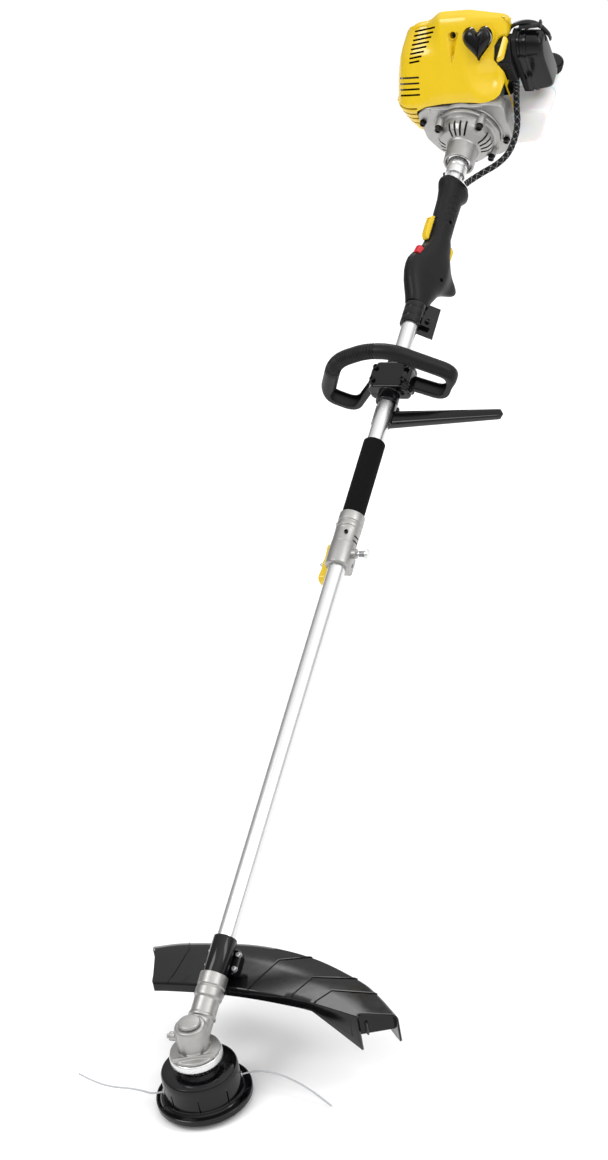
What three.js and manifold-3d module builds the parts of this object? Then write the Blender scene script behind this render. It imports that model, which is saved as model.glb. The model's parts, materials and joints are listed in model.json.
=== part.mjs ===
// Split-shaft petrol string trimmer, millimetres, +Z up.
// World origin: on the ground under the cutting head, on the spindle axis.
// Most parts sit in the shaft frame: local x is the operator's left, local y is the
// engine's up, and local z is minus the distance s along the shaft from the spindle.
import * as THREE from 'three';
import { mergeVertices } from 'three/addons/utils/BufferGeometryUtils.js';
import Module from 'manifold-3d';

const wasm = await Module();
wasm.setup();

// ---------------------------------------------------------------- driving dimensions
const SHAFT_RISE = THREE.MathUtils.degToRad(30.7);
const SPINDLE_CROSSING = 90;          // height where the shaft axis meets the spindle
const GAP = 0.3;                      // clearance between neighbouring pieces
const ROUNDNESS = 0.62;               // share of the stated sides that a turned piece gets
const TUBE_R = 13;
const TUBE_WALL = 1.5;
const BORE_R = TUBE_R + GAP;

const HEAD_TOP = 56.3;
const HEAD_R = 51;
const HEAD_RIM_R = 64.5;
const HEAD_CAVITY_R = 43.5;
const KNOB_TRAVEL = 5.5;
const EYELET_Z = 26;
const HEAD_TURN = THREE.MathUtils.degToRad(32);
const LINE_R = 1.2;
const SPINDLE_R = 4;
const SPINDLE_FOOT = 30;

const GEAR_TEETH = 20;
const PINION_TEETH = 15;
const GEAR_CONE = THREE.MathUtils.degToRad(34.3);
const PINION_CONE = THREE.MathUtils.degToRad(25.0);
const CONE_OUTER = 20;
const CONE_INNER = 13;
const DRIVE_R = 4;

const LOWER_TUBE_START = 62;
const LOWER_TUBE_END = 798;
const UPPER_TUBE_START = 800;
const UPPER_TUBE_END = 1536;
const FOAM = [829.3, 963];
const FOAM_R = 17.3;
const BARRIER = [999, 1025.4];
const BRACKET = [1026, 1126];
const LOOP_S = 1080;
const GRIP_R = 12.5;
const CLAMP = [1190, 1229];
const HANDLE_ROLL = THREE.MathUtils.degToRad(25);

const SLEEVE_MOUTH = 1526;
const BELL_FACE = 1598;
const FAN_FACE = 1598.3;
const FAN_BACK = 1625;
const CASE_BACK = 1700;
const CYLINDER_S = 1678;
const TANK = [1638, 1752];

// ---------------------------------------------------------------- geometry helpers
function orient(index, position) {
  let volume = 0;
  const p = new THREE.Vector3();
  const q = new THREE.Vector3();
  const r = new THREE.Vector3();
  for (let i = 0; i < index.length; i += 3) {
    p.fromArray(position, 3 * index[i]);
    q.fromArray(position, 3 * index[i + 1]);
    r.fromArray(position, 3 * index[i + 2]);
    volume += p.dot(q.cross(r));
  }
  if (volume > 0) return index;
  return index.map((value, i) => index[i % 3 === 0 ? i : i % 3 === 1 ? i + 1 : i - 1]);
}

function toSolid(geometry) {
  const bare = geometry.clone();
  bare.deleteAttribute('normal');
  bare.deleteAttribute('uv');
  const merged = mergeVertices(bare, 1e-4);
  const all = merged.index.array;
  const kept = [];
  for (let i = 0; i < all.length; i += 3) {
    const [a, b, c] = [all[i], all[i + 1], all[i + 2]];
    if (a !== b && b !== c && c !== a) kept.push(a, b, c);
  }
  const vertProperties = merged.attributes.position.array;
  const triVerts = Uint32Array.from(orient(kept, vertProperties));
  return new wasm.Manifold(new wasm.Mesh({ numProp: 3, vertProperties, triVerts }));
}

function toGeometry(solid) {
  const mesh = solid.getMesh();
  const geometry = new THREE.BufferGeometry();
  geometry.setAttribute('position', new THREE.BufferAttribute(mesh.vertProperties, 3));
  geometry.setIndex(new THREE.BufferAttribute(mesh.triVerts, 1));
  geometry.computeVertexNormals();
  return geometry;
}

function join(...pieces) {
  return toGeometry(pieces.map(toSolid).reduce((sum, piece) => sum.add(piece)));
}

function cut(body, ...tools) {
  return toGeometry(tools.map(toSolid).reduce((rest, tool) => rest.subtract(tool), toSolid(body)));
}

function common(body, other) {
  return toGeometry(toSolid(body).intersect(toSolid(other)));
}

function box([x0, x1], [y0, y1], [z0, z1]) {
  const geometry = new THREE.BoxGeometry(x1 - x0, y1 - y0, z1 - z0);
  return geometry.translate((x0 + x1) / 2, (y0 + y1) / 2, (z0 + z1) / 2);
}

// A box in the shaft frame, given its span along the shaft.
function shaftBox(xSpan, ySpan, [s0, s1]) {
  return box(xSpan, ySpan, [-s1, -s0]);
}

function revolve(profile, segments) {
  const sides = 2 * Math.ceil((segments * ROUNDNESS) / 2);
  return new THREE.LatheGeometry(profile.map(([r, h]) => new THREE.Vector2(r, h)), sides);
}

// Turned about the world's vertical; profile points are [radius, z].
function turnedUp(profile, segments = 32) {
  return revolve(profile, segments).rotateX(Math.PI / 2);
}

// Turned about the shaft; profile points are [radius, s].
function turned(profile, segments = 24) {
  return revolve(profile, segments).rotateX(-Math.PI / 2);
}

function ringProfile(inner, outer, h0, h1) {
  return [[inner, h0], [outer, h0], [outer, h1], [inner, h1], [inner, h0]];
}

function rodProfile(radius, h0, h1) {
  return [[0, h0], [radius, h0], [radius, h1], [0, h1]];
}

function rod(radius, [s0, s1], segments = 16) {
  return turned(rodProfile(radius, s0, s1), segments);
}

function ring(inner, outer, [s0, s1], segments = 24) {
  return turned(ringProfile(inner, outer, s0, s1), segments);
}

// A cylinder centred at a point, its axis along the given direction.
function pin(radius, length, centre, direction, segments = 12) {
  const geometry = new THREE.CylinderGeometry(radius, radius, length, segments);
  const turn = new THREE.Quaternion();
  turn.setFromUnitVectors(new THREE.Vector3(0, 1, 0), new THREE.Vector3(...direction).normalize());
  return geometry.applyQuaternion(turn).translate(...centre);
}

function outline(points) {
  return new THREE.Shape(points.map(([x, y]) => new THREE.Vector2(x, y)));
}

function slab(shape, z0, z1, bevel = 0, bevelSegments = 2) {
  const options = {
    depth: z1 - z0 - 2 * bevel,
    bevelEnabled: bevel > 0,
    bevelThickness: bevel,
    bevelSize: bevel,
    bevelOffset: -bevel,
    bevelSegments,
    curveSegments: 8,
  };
  return new THREE.ExtrudeGeometry(shape, options).translate(0, 0, z0 + bevel);
}

// A plate across the shaft, from s0 to s1; outline points are [x, y].
function plate(points, [s0, s1], bevel = 0) {
  return slab(outline(points), -s1, -s0, bevel);
}

// A plate in the shaft's upright plane, from x0 to x1; outline points are [s, y].
function sidePlate(points, [x0, x1], bevel = 0) {
  return slab(outline(points), x0, x1, bevel).rotateY(Math.PI / 2);
}

function circleOutline(radius, sides) {
  const points = [];
  for (let i = 0; i < sides; i += 1) {
    const angle = (2 * Math.PI * i) / sides;
    points.push([radius * Math.cos(angle), radius * Math.sin(angle)]);
  }
  return outline(points);
}

function sweep(curve, radius, steps, sides = 8) {
  const options = { steps, bevelEnabled: false, extrudePath: curve };
  return new THREE.ExtrudeGeometry(circleOutline(radius, sides), options);
}

function smoothCurve(points) {
  return new THREE.CatmullRomCurve3(points.map((p) => new THREE.Vector3(...p)), false, 'centripetal');
}

// Straight runs between corner points, each inner corner rounded to its own radius.
function roundedPath(points, radii) {
  const corners = points.map((p) => new THREE.Vector3(...p));
  const path = new THREE.CurvePath();
  let from = corners[0];
  for (let i = 1; i < corners.length - 1; i += 1) {
    const back = corners[i - 1].clone().sub(corners[i]).normalize().multiplyScalar(radii[i]);
    const ahead = corners[i + 1].clone().sub(corners[i]).normalize().multiplyScalar(radii[i]);
    const start = corners[i].clone().add(back);
    const end = corners[i].clone().add(ahead);
    path.add(new THREE.LineCurve3(from, start));
    path.add(new THREE.QuadraticBezierCurve3(start, corners[i].clone(), end));
    from = end;
  }
  path.add(new THREE.LineCurve3(from, corners[corners.length - 1]));
  return path;
}

// ---------------------------------------------------------------- materials and frames
function finish(colour, roughness, metalness = 0) {
  return new THREE.MeshStandardMaterial({ color: colour, roughness, metalness });
}

const matteBlack = finish(0x1b1b1c, 0.75);
const glossBlack = finish(0x0d0d0e, 0.2);
const castAluminium = finish(0xa5a19b, 0.45, 0.9);
const brightAluminium = finish(0xd4d4d2, 0.28, 0.95);
const steel = finish(0x8d8f92, 0.3, 1);
const yellow = finish(0xe2b90a, 0.25);
const red = finish(0xc01f24, 0.4);
const foamBlack = finish(0x121212, 0.95);
const tankWhite = finish(0xeef0ef, 0.35);
const nylonGrey = finish(0xb9bcbe, 0.5);
const rubber = finish(0x161616, 0.6);

const trimmer = new THREE.Group();
const shaft = new THREE.Group();
shaft.position.set(0, 0, SPINDLE_CROSSING);
shaft.rotation.x = Math.PI / 2 + SHAFT_RISE;
trimmer.add(shaft);

function add(frame, name, geometry, material) {
  const mesh = new THREE.Mesh(toGeometry(toSolid(geometry)), material);
  mesh.name = name;
  frame.add(mesh);
  return mesh;
}

// ---------------------------------------------------------------- cutting head
function spoolHousing() {
  const shell = turnedUp([
    [12, HEAD_TOP], [46, HEAD_TOP], [HEAD_R, HEAD_TOP - 3], [HEAD_R, 42], [48, 36], [46.8, 25],
    [50, 17], [HEAD_RIM_R, 10.5], [HEAD_RIM_R, 7.5], [50, 9], [HEAD_CAVITY_R, 13],
    [HEAD_CAVITY_R, 50], [12, 50], [12, HEAD_TOP],
  ], 48);
  const eyeletHole = pin(4 + GAP, 140, [0, 0, EYELET_Z], [1, 0, 0], 16).rotateZ(HEAD_TURN);
  const slots = [];
  for (let i = 0; i < 8; i += 1) {
    const slot = box([-1.5, 1.5], [HEAD_CAVITY_R - 3, HEAD_R + 5], [38, 48]);
    slots.push(slot.rotateZ(((i + 0.5) * Math.PI) / 4));
  }
  return cut(shell, eyeletHole, ...slots);
}

function spool() {
  return turnedUp([
    [11.5, 20.5], [42, 20.5], [42, 22.5], [17, 22.5], [17, 33], [42, 33], [42, 35], [17, 35],
    [17, 46], [42, 46], [42, 48], [13.5, 48], [13.5, 24], [11.5, 24], [11.5, 20.5],
  ], 32);
}

// The stem is a socket that takes the spindle's foot when the knob is pressed.
function bumpKnob() {
  const socketFloor = SPINDLE_FOOT - KNOB_TRAVEL - 1;
  return turnedUp([
    [0, 0], [28, 0], [35, 3], [38, 8], [38, 13], [24, 14.5], [10.4, 14.5], [10.4, 19], [6.5, 19],
    [6.5, 28], [SPINDLE_R + 0.4, 28], [SPINDLE_R + 0.4, socketFloor], [0, socketFloor],
  ], 32);
}

function spoolSpring() {
  const turns = 4;
  const points = [];
  for (let i = 0; i <= turns * 10; i += 1) {
    const angle = (2 * Math.PI * i) / 10;
    points.push([9 * Math.cos(angle), 9 * Math.sin(angle), 20.3 + (28.4 * i) / (turns * 10)]);
  }
  return sweep(smoothCurve(points), 0.9, turns * 12, 5);
}

function eyelet(side) {
  const tube = turned(ringProfile(1.9, 4, HEAD_CAVITY_R + 0.5, HEAD_R + 1), 16).rotateY(-Math.PI / 2);
  const lip = turned(ringProfile(1.9, 5.5, HEAD_R - 0.5, HEAD_R + 1), 16).rotateY(-Math.PI / 2);
  const bush = join(tube, lip).translate(0, 0, EYELET_Z);
  return bush.rotateZ(side > 0 ? HEAD_TURN : HEAD_TURN + Math.PI);
}

// Each line leaves its eyelet straight, then bows a little under its own weight.
function trimmerLine(points) {
  return sweep(smoothCurve(points), LINE_R, 16, 8);
}

const rightLinePoints = [
  [-44.9, -28.1, 26], [-51, -31.9, 26.4], [-60, -36, 28], [-72, -37.5, 31], [-90, -38.8, 32.5],
  [-111, -40, 32], [-130, -38.8, 32], [-150, -35.5, 33.5], [-170, -30.8, 36],
];
const leftLinePoints = [
  [44.9, 28.1, 26], [51, 31.9, 26.4], [62, 36.3, 27.6], [76.5, 37.6, 28.2], [95, 37.4, 27],
  [112.5, 36.2, 23], [130, 33.5, 18.2], [145.5, 29.3, 13.8], [160, 25.2, 8], [173, 21.2, 3],
];

function driveFlange() {
  return turnedUp([
    [SPINDLE_R + GAP, HEAD_TOP + GAP], [24, HEAD_TOP + GAP], [24, 66], [35.2, 68], [35.2, 78],
    [33, 79], [27, 79], [25, 73], [SPINDLE_R + GAP, 73], [SPINDLE_R + GAP, HEAD_TOP + GAP],
  ], 40);
}

function outputShaft() {
  return turnedUp([
    [0, SPINDLE_FOOT], [3.5, SPINDLE_FOOT], [SPINDLE_R, 32], [SPINDLE_R, 117.5], [0, 117.5],
  ], 20);
}

// Straight bevel teeth on a cone whose tip is at the origin and whose axis is +Z.
function bevelGear(cone, teeth, boreRadius, hubBack) {
  const rootDrop = 1.3;
  const tipRise = 0.75;
  const along = new THREE.Vector2(Math.sin(cone), Math.cos(cone));
  const away = new THREE.Vector2(Math.cos(cone), -Math.sin(cone));
  const spot = (distance, rise) => [
    along.x * distance + away.x * rise,
    along.y * distance + away.y * rise,
  ];
  const [r0, z0] = spot(CONE_INNER, -rootDrop);
  const [r1, z1] = spot(CONE_OUTER, -rootDrop);
  const back = Math.max(z0, z1) + hubBack;
  const blank = turnedUp([[boreRadius, z0], [r0, z0], [r1, z1], [r1, back], [boreRadius, back],
    [boreRadius, z0]], 32);
  const solids = [blank];
  for (let i = 0; i < teeth; i += 1) {
    solids.push(bevelTooth(spot, teeth, rootDrop, tipRise).rotateZ((2 * Math.PI * i) / teeth));
  }
  return join(...solids);
}

// One tooth: a tapered bar from the inner to the outer cone distance.
function bevelTooth(spot, teeth, rootDrop, tipRise) {
  const rings = [CONE_INNER + 0.2, CONE_OUTER - 0.2].map((distance) => {
    const [radius] = spot(distance, 0);
    const pitch = (2 * Math.PI * radius) / teeth;
    const [rootR, rootZ] = spot(distance, -rootDrop - 0.4);
    const [tipR, tipZ] = spot(distance, tipRise);
    return [
      [rootR, -pitch * 0.22, rootZ], [rootR, pitch * 0.22, rootZ],
      [tipR, pitch * 0.1, tipZ], [tipR, -pitch * 0.1, tipZ],
    ];
  });
  return hexahedron(rings[0], rings[1]);
}

// A solid between two four-sided loops of points.
function hexahedron(first, second) {
  const corners = [...first, ...second];
  const quads = [[0, 3, 2, 1], [4, 5, 6, 7], [0, 1, 5, 4], [1, 2, 6, 5], [2, 3, 7, 6], [3, 0, 4, 7]];
  const index = quads.flatMap(([a, b, c, d]) => [a, b, c, a, c, d]);
  const geometry = new THREE.BufferGeometry();
  geometry.setAttribute('position', new THREE.Float32BufferAttribute(corners.flat(), 3));
  geometry.setIndex(index);
  return geometry;
}

add(trimmer, 'spool_housing', spoolHousing(), matteBlack);
add(trimmer, 'spool', spool(), matteBlack);
add(trimmer, 'bump_knob', bumpKnob(), glossBlack);
add(trimmer, 'spool_spring', spoolSpring(), steel);
add(trimmer, 'eyelet_left', eyelet(1), brightAluminium);
add(trimmer, 'eyelet_right', eyelet(-1), brightAluminium);
add(trimmer, 'trimmer_line_right', trimmerLine(rightLinePoints), nylonGrey);
add(trimmer, 'trimmer_line_left', trimmerLine(leftLinePoints), nylonGrey);
add(trimmer, 'drive_flange', driveFlange(), brightAluminium);
add(trimmer, 'output_shaft', outputShaft(), steel);
const gear = bevelGear(GEAR_CONE, GEAR_TEETH, SPINDLE_R + GAP, 1.5);
// Turned so that its teeth stand in the pinion's gaps.
const GEAR_PHASE = THREE.MathUtils.degToRad(4.5);
add(trimmer, 'output_gear', gear.rotateZ(GEAR_PHASE).translate(0, 0, SPINDLE_CROSSING), steel);

// ---------------------------------------------------------------- gearbox and lower tube
function upFrameToShaft(geometry) {
  return geometry.rotateX(-Math.PI / 2 - SHAFT_RISE);
}

// Built in the shaft frame; the upright parts are turned back from the world frame.
function gearboxHousing() {
  const onSpindle = (profile, segments) => {
    return upFrameToShaft(turnedUp(profile, segments).translate(0, 0, -SPINDLE_CROSSING));
  };
  const body = onSpindle(rodProfile(21.5, 83, 122), 28);
  const foot = onSpindle(rodProfile(33.5, 79.4, 84), 28);
  const neck = turned([[0, 0], [17, 0], [17, 36], [18.2, 36], [18.2, 39], [17.4, 39], [17.4, 61],
    [19, 64], [19, 96], [0, 96]], 28);
  const chordBar = upFrameToShaft(box([-30, 30], [-23.5, -21], [82, 88]).rotateZ(0.42)
    .translate(0, 0, -SPINDLE_CROSSING));
  const mainBore = onSpindle(rodProfile(15.5, 89, 110), 28);
  const lowerBore = onSpindle(rodProfile(13.3, 70, 90), 28);
  const upperBore = onSpindle(rodProfile(11, 105, 130), 24);
  const shaftBore = turned([[0, 8], [13.4, 8], [13.4, 97], [0, 97]], 24);
  const splitLine = shaftBox([-0.8, 0.8], [-30, -10], [72, 97]);
  const ear = shaftBox([-9, 9], [-28, -15], [74, 92]);
  const screwLug = upFrameToShaft(pin(5, 12, [-24, -8, 104], [-1, -0.3, 0.2], 12)
    .translate(0, 0, -SPINDLE_CROSSING));
  const whole = join(body, foot, neck, chordBar, ear, screwLug);
  return cut(whole, mainBore, lowerBore, upperBore, shaftBore, splitLine);
}

add(shaft, 'gearbox_housing', gearboxHousing(), castAluminium);
add(trimmer, 'gearbox_cap', turnedUp([[0, 119], [10.6, 119], [10.6, 122.3], [15, 122.3], [15, 126],
  [13.5, 127.4], [0, 127.4]], 28), castAluminium);
add(trimmer, 'spindle_bearing', turnedUp(ringProfile(4.3, 13, 80.4, 87.4), 20), steel);
add(shaft, 'lower_tube', ring(TUBE_R - TUBE_WALL, TUBE_R, [LOWER_TUBE_START, LOWER_TUBE_END], 32),
  brightAluminium);

function pinion() {
  const teeth = bevelGear(PINION_CONE, PINION_TEETH, 0, 1.5).rotateZ(Math.PI / PINION_TEETH);
  const shank = turnedUp(rodProfile(5, 17, 44), 20);
  return join(teeth, shank).rotateX(Math.PI);
}

add(shaft, 'pinion', pinion(), steel);
add(shaft, 'lower_drive_shaft', rod(DRIVE_R, [44.3, LOWER_TUBE_END + 1]), steel);

// ---------------------------------------------------------------- debris guard
function upright(geometry) {
  return geometry.rotateX(Math.PI / 2 + SHAFT_RISE).translate(0, 0, SPINDLE_CROSSING);
}

const GUARD_TOP = 122;
const GUARD_SKIRT = 36;
const GUARD_WALL = 3;
const GUARD_OUTER = { x: 9, y: -163, r: 350 };
const GUARD_INNER = { x: 35, y: -617, r: 700 };

function arcPoint(arc, x, inset) {
  const radius = arc.r + inset;
  return [x, arc.y + Math.sqrt(radius * radius - (x - arc.x) ** 2)];
}

// Plan of the guard between two vertical ends, drawn in from its edges by an inset.
function guardPlan(left, right, inset, leftInner, rightInner) {
  const steps = 14;
  const points = [];
  for (let i = 0; i <= steps; i += 1) {
    points.push(arcPoint(GUARD_OUTER, left + ((right - left) * i) / steps, -inset));
  }
  for (let i = steps; i >= 0; i -= 1) {
    const x = leftInner + ((rightInner - leftInner) * i) / steps;
    points.push(arcPoint(GUARD_INNER, x, inset));
  }
  return outline(points);
}

function guard() {
  const whole = slab(guardPlan(-137, 260, 0, -92, 214), GUARD_TOP - GUARD_SKIRT, GUARD_TOP);
  const hollow = slab(guardPlan(-134, 275, GUARD_WALL, -90, 225), 0, GUARD_TOP - GUARD_WALL);
  const lip = box([-160, 150], [40, 88], [0, GUARD_TOP - 14]);
  const neckRoom = upright(rod(20, [50, 110], 20));
  const earRoom = upright(shaftBox([-10, 10], [-32, 0], [60, 95]));
  return cut(whole, hollow, lip, neckRoom, earRoom);
}

function guardBracket() {
  const sleeve = ring(BORE_R, 16.4, [96.4, 149]);
  const saddle = shaftBox([-17, 17], [-31, -8], [104, 140]);
  const bore = rod(BORE_R, [90, 160], 24);
  const under = slab(outline([[-60, 60], [60, 60], [60, 240], [-60, 240]]), 0, GUARD_TOP + GAP);
  const ground = upFrameToShaft(under.translate(0, 0, -SPINDLE_CROSSING));
  return cut(join(sleeve, saddle), bore, ground);
}

add(trimmer, 'guard', guard(), glossBlack);
add(shaft, 'guard_bracket', guardBracket(), glossBlack);
add(trimmer, 'line_cutter', box([222, 252], [73, 75.4], [66, 90]), steel);

// ---------------------------------------------------------------- coupler and upper tube
function coupler() {
  const outer = turned([
    [0, 738], [18.5, 738], [19.5, 741], [19.5, 800], [18.4, 801], [18.4, 804], [19.5, 805],
    [19.5, 810], [18.4, 811], [18.4, 814], [19.5, 815], [19.5, 829], [0, 829],
  ], 28);
  const ear = shaftBox([-11, 11], [-30, -12], [742, 770]);
  const boss = pin(7, 12, [19, 0, -763], [1, 0, 0], 16);
  const whole = join(outer, ear, boss);
  const pinHole = pin(3.3, 30, [25, 0, -763], [1, 0, 0], 12);
  const studHole = pin(3.3, 60, [0, -23, -756], [1, 0, 0], 12);
  const split = shaftBox([-1, 1], [-40, -10], [730, 790]);
  return cut(whole, rod(BORE_R, [700, 850], 32), pinHole, studHole, split);
}

function pullPin() {
  const stem = pin(3, 26, [28.3, 0, -763], [1, 0, 0], 12);
  const collar = pin(5, 2, [29.5, 0, -763], [1, 0, 0], 16);
  const knob = pin(7, 6, [41, 0, -763], [1, 0, 0], 16);
  return join(stem, collar, knob);
}

// Two-winged clamping knob on a stud through the coupler's ear.
function wingKnob() {
  const stud = pin(3, 46, [-9, -23, -756], [1, 0, 0], 12);
  const hub = pin(9, 11, [-19.2, -23, -756], [1, 0, 0], 16);
  const wing = slab(outline([[-33, -5], [-28, -8.5], [-8, -6], [8, -6], [28, -8.5], [33, -5],
    [33, 5], [28, 8.5], [8, 6], [-8, 6], [-28, 8.5], [-33, 5]]), -26, -20, 1.5);
  return join(stud, hub, wing.rotateY(Math.PI / 2).translate(0, -23, -756));
}

add(shaft, 'coupler', coupler(), castAluminium);
add(shaft, 'pull_pin', pullPin(), brightAluminium);
add(shaft, 'wing_knob', wingKnob(), yellow);
add(shaft, 'upper_tube', ring(TUBE_R - TUBE_WALL, TUBE_R, [UPPER_TUBE_START, UPPER_TUBE_END], 32),
  brightAluminium);
add(shaft, 'upper_drive_shaft', rod(DRIVE_R, [UPPER_TUBE_START + 1, 1566.4]), steel);
add(shaft, 'foam_grip', ring(BORE_R, FOAM_R, FOAM, 28), foamBlack);

// ---------------------------------------------------------------- front handle
// Corner points of the loop, in the plane across the shaft.
const LOOP_CORNERS = [
  [-20, 14], [-81, -60], [-124, -32], [-80, 52], [-20, 76], [22, 75], [107, 20], [78, -30], [20, 2],
];
const LOOP_RADII = [0, 15, 17, 30, 20, 20, 17, 15, 0];

function bracketBlock(grow) {
  return shaftBox([-33 - grow, 33 + grow], [-15 - grow, 15 + grow], [1058 - grow, 1102 + grow]);
}

function loopHandle() {
  const points = LOOP_CORNERS.map(([x, y]) => [x, y, -LOOP_S]);
  const bar = sweep(roundedPath(points, LOOP_RADII), GRIP_R, 48, 10);
  return cut(bar, bracketBlock(GAP), rod(18 + GAP, [1000, 1150], 24));
}

function handleBracket() {
  const sleeve = ring(BORE_R, 17.5, BRACKET, 28);
  return cut(join(sleeve, bracketBlock(0)), rod(BORE_R, [1000, 1150], 28));
}

function barrierBar() {
  const collar = ring(BORE_R, 17.5, BARRIER, 28);
  const arm = hexahedron(
    [[12, -15, -1025], [12, 0, -1025], [12, 0, -999.4], [12, -15, -999.4]],
    [[198, 3, -1020], [198, 15, -1020], [198, 15, -1006], [198, 3, -1006]],
  );
  return cut(join(collar, arm), rod(BORE_R, [990, 1040], 28));
}

add(shaft, 'loop_handle', loopHandle(), matteBlack);
add(shaft, 'handle_bracket', handleBracket(), glossBlack);
add(shaft, 'barrier_bar', barrierBar(), glossBlack);

// ---------------------------------------------------------------- rear handle
const HANDLE_PROFILE = [
  [1484, 24], [1484, -28], [1476, -34], [1466, -35], [1452, -25], [1374, -24], [1366, -29],
  [1343, -34], [1328, -45], [1312, -60], [1304, -65], [1296, -62], [1284, -44], [1268, -32],
  [1245, -22], [1229.4, -18], [1229.4, 18], [1238, 20], [1262, 33], [1291, 41], [1312, 36], [1330, 26],
  [1345, 17], [1396, 14], [1445, 16], [1472, 24],
];

function handleShell(side) {
  const half = side < 0 ? [-19, -0.15] : [0.15, 19];
  const blank = sidePlate(HANDLE_PROFILE, [-19, 19], 5);
  const keep = shaftBox(half, [-80, 60], [1200, 1500]);
  const bore = rod(BORE_R, [1200, 1500], 24);
  const triggerBay = shaftBox([-6, 6], [-60, -14.5], [1318, 1374]);
  const lockoutBay = shaftBox([-6, 6], [13.8, 50], [1349, 1400]);
  const switchBay = shaftBox([2, 12], [22, 50], [1308, 1330]);
  const roomy = shaftBox([-9, 9], [14, 28], [1270, 1310]);
  const tools = [bore, triggerBay, lockoutBay, switchBay, roomy];
  return cut(common(blank, keep), ...tools).rotateZ(HANDLE_ROLL);
}

function throttleTrigger() {
  const lever = sidePlate([
    [1371, -20], [1371, -34], [1366, -39], [1350, -38.5], [1334, -37], [1330, -33], [1334, -28],
    [1352, -20],
  ], [-5.4, 5.4], 1);
  return lever.rotateZ(HANDLE_ROLL);
}

function lockoutLever() {
  const lever = sidePlate([
    [1351, 18], [1351, 22], [1356, 26], [1380, 27], [1394, 25.5], [1398.5, 21], [1398.5, 17.8],
    [1370, 17.5],
  ], [-5.4, 5.4], 1);
  return lever.rotateZ(HANDLE_ROLL);
}

function stopSwitch() {
  const slider = shaftBox([2.6, 11.4], [24, 36], [1310, 1325]);
  return slider.rotateZ(HANDLE_ROLL);
}

function handleClamp() {
  const band = ring(BORE_R, 17, CLAMP, 28);
  const ear = shaftBox([-8, 8], [-30, -15], [1194, 1212]);
  return cut(join(band, ear), rod(BORE_R, [1180, 1240], 28)).rotateZ(HANDLE_ROLL + 0.5);
}

add(shaft, 'rear_handle_right', handleShell(-1), matteBlack);
add(shaft, 'rear_handle_left', handleShell(1), matteBlack);
add(shaft, 'throttle_trigger', throttleTrigger(), yellow);
add(shaft, 'lockout_lever', lockoutLever(), yellow);
add(shaft, 'stop_switch', stopSwitch(), red);
add(shaft, 'handle_clamp', handleClamp(), glossBlack);

// ---------------------------------------------------------------- clutch housing and engine core
function tubeSocket() {
  return turned([[BORE_R, 1500], [16.6, 1500], [16.6, 1530], [22, 1532], [22, 1562], [BORE_R, 1562],
    [BORE_R, 1500]], 28);
}

function clutchHousing() {
  const shell = turned([
    [22.3, SLEEVE_MOUTH], [25.5, SLEEVE_MOUTH], [26.5, 1560], [40, 1567], [46, 1577], [46, 1590],
    [56, 1591], [56, BELL_FACE], [41, BELL_FACE], [41, 1574], [36, 1568], [22.3, 1564],
    [22.3, SLEEVE_MOUTH],
  ], 36);
  const ears = [45, 135, 225, 315].map((degrees) => {
    const angle = THREE.MathUtils.degToRad(degrees);
    return pin(8, 7, [51 * Math.cos(angle), 51 * Math.sin(angle), -1594.5], [0, 0, 1], 14);
  });
  const slots = [];
  for (const middle of [90, 0, 180, 270]) {
    for (let i = -1.5; i <= 1.5; i += 1) {
      const slot = shaftBox([-1.6, 1.6], [31, 42], [1560, 1582]);
      slots.push(slot.rotateZ(THREE.MathUtils.degToRad(middle - 90 + 13 * i)));
    }
  }
  return cut(join(shell, ...ears), ...slots);
}

function clutchDrum() {
  return turned([[0, 1567], [9, 1567], [9, 1569], [39, 1574.5], [39, 1592], [36.5, 1592], [36.5, 1577],
    [0, 1572]], 32);
}

// Two weighted shoes joined by the hub that the crankshaft turns.
function clutchShoes() {
  const shoes = ring(26, 35, [1578, 1591], 28);
  const gaps = [shaftBox([-4, 4], [-40, 40], [1570, 1600])];
  const hub = ring(5.3, 10, [1578, 1591], 20);
  const arms = shaftBox([-28, 28], [-5, 5], [1579, 1590]);
  const bore = rod(5.3, [1570, 1600], 20);
  return cut(join(cut(shoes, ...gaps), hub, arms), bore);
}

const FAN_OUTLINE = [
  [-78, 44], [-62, 56], [52, 58], [74, 50], [72, -20], [62, -44], [40, -60], [-40, -60], [-62, -46],
  [-78, -14],
];

function fanHousing() {
  const block = plate(FAN_OUTLINE, [FAN_FACE, FAN_BACK], 1.5);
  return cut(block, rod(42, [1590, 1603], 36), rod(54, [1601, 1630], 36));
}

function flywheel() {
  const disc = ring(5.3, 46, [1604, 1616], 36);
  const vanes = [];
  for (let i = 0; i < 14; i += 1) {
    vanes.push(shaftBox([-1.2, 1.2], [28, 50], [1612, 1622]).rotateZ((2 * Math.PI * i) / 14));
  }
  return join(disc, ...vanes);
}

const CRANK_THROW = 15;
const CRANK_PIN_R = 5;

function crankshaft() {
  const axle = rod(5, [1576, 1722], 20);
  const webs = [[1663, 1670], [1686, 1693]].map((span) => rod(28, span, 24));
  const crankPin = pin(CRANK_PIN_R, 18, [0, -CRANK_THROW, -CYLINDER_S], [0, 0, 1], 14);
  const waist = rod(6, [1670.1, 1685.9], 16);
  return join(cut(axle, waist), ...webs, crankPin);
}

function crankcase() {
  const barrel = rod(40, [FAN_BACK + GAP, CASE_BACK], 32);
  const deck = shaftBox([-30, 30], [0, 46], [1652, CASE_BACK]);
  const inside = rod(34, [1658, 1696], 24);
  const mouth = shaftBox([-18, 18], [0, 60], [1660, 1696]);
  const bearings = rod(5.3, [1600, 1720], 20);
  return cut(join(barrel, deck), inside, mouth, bearings);
}

// A shape turned about the cylinder's own axis; profile points are [radius, y].
function cylinderTurned(profile, segments) {
  return revolve(profile, segments).translate(0, 0, -CYLINDER_S);
}

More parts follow.
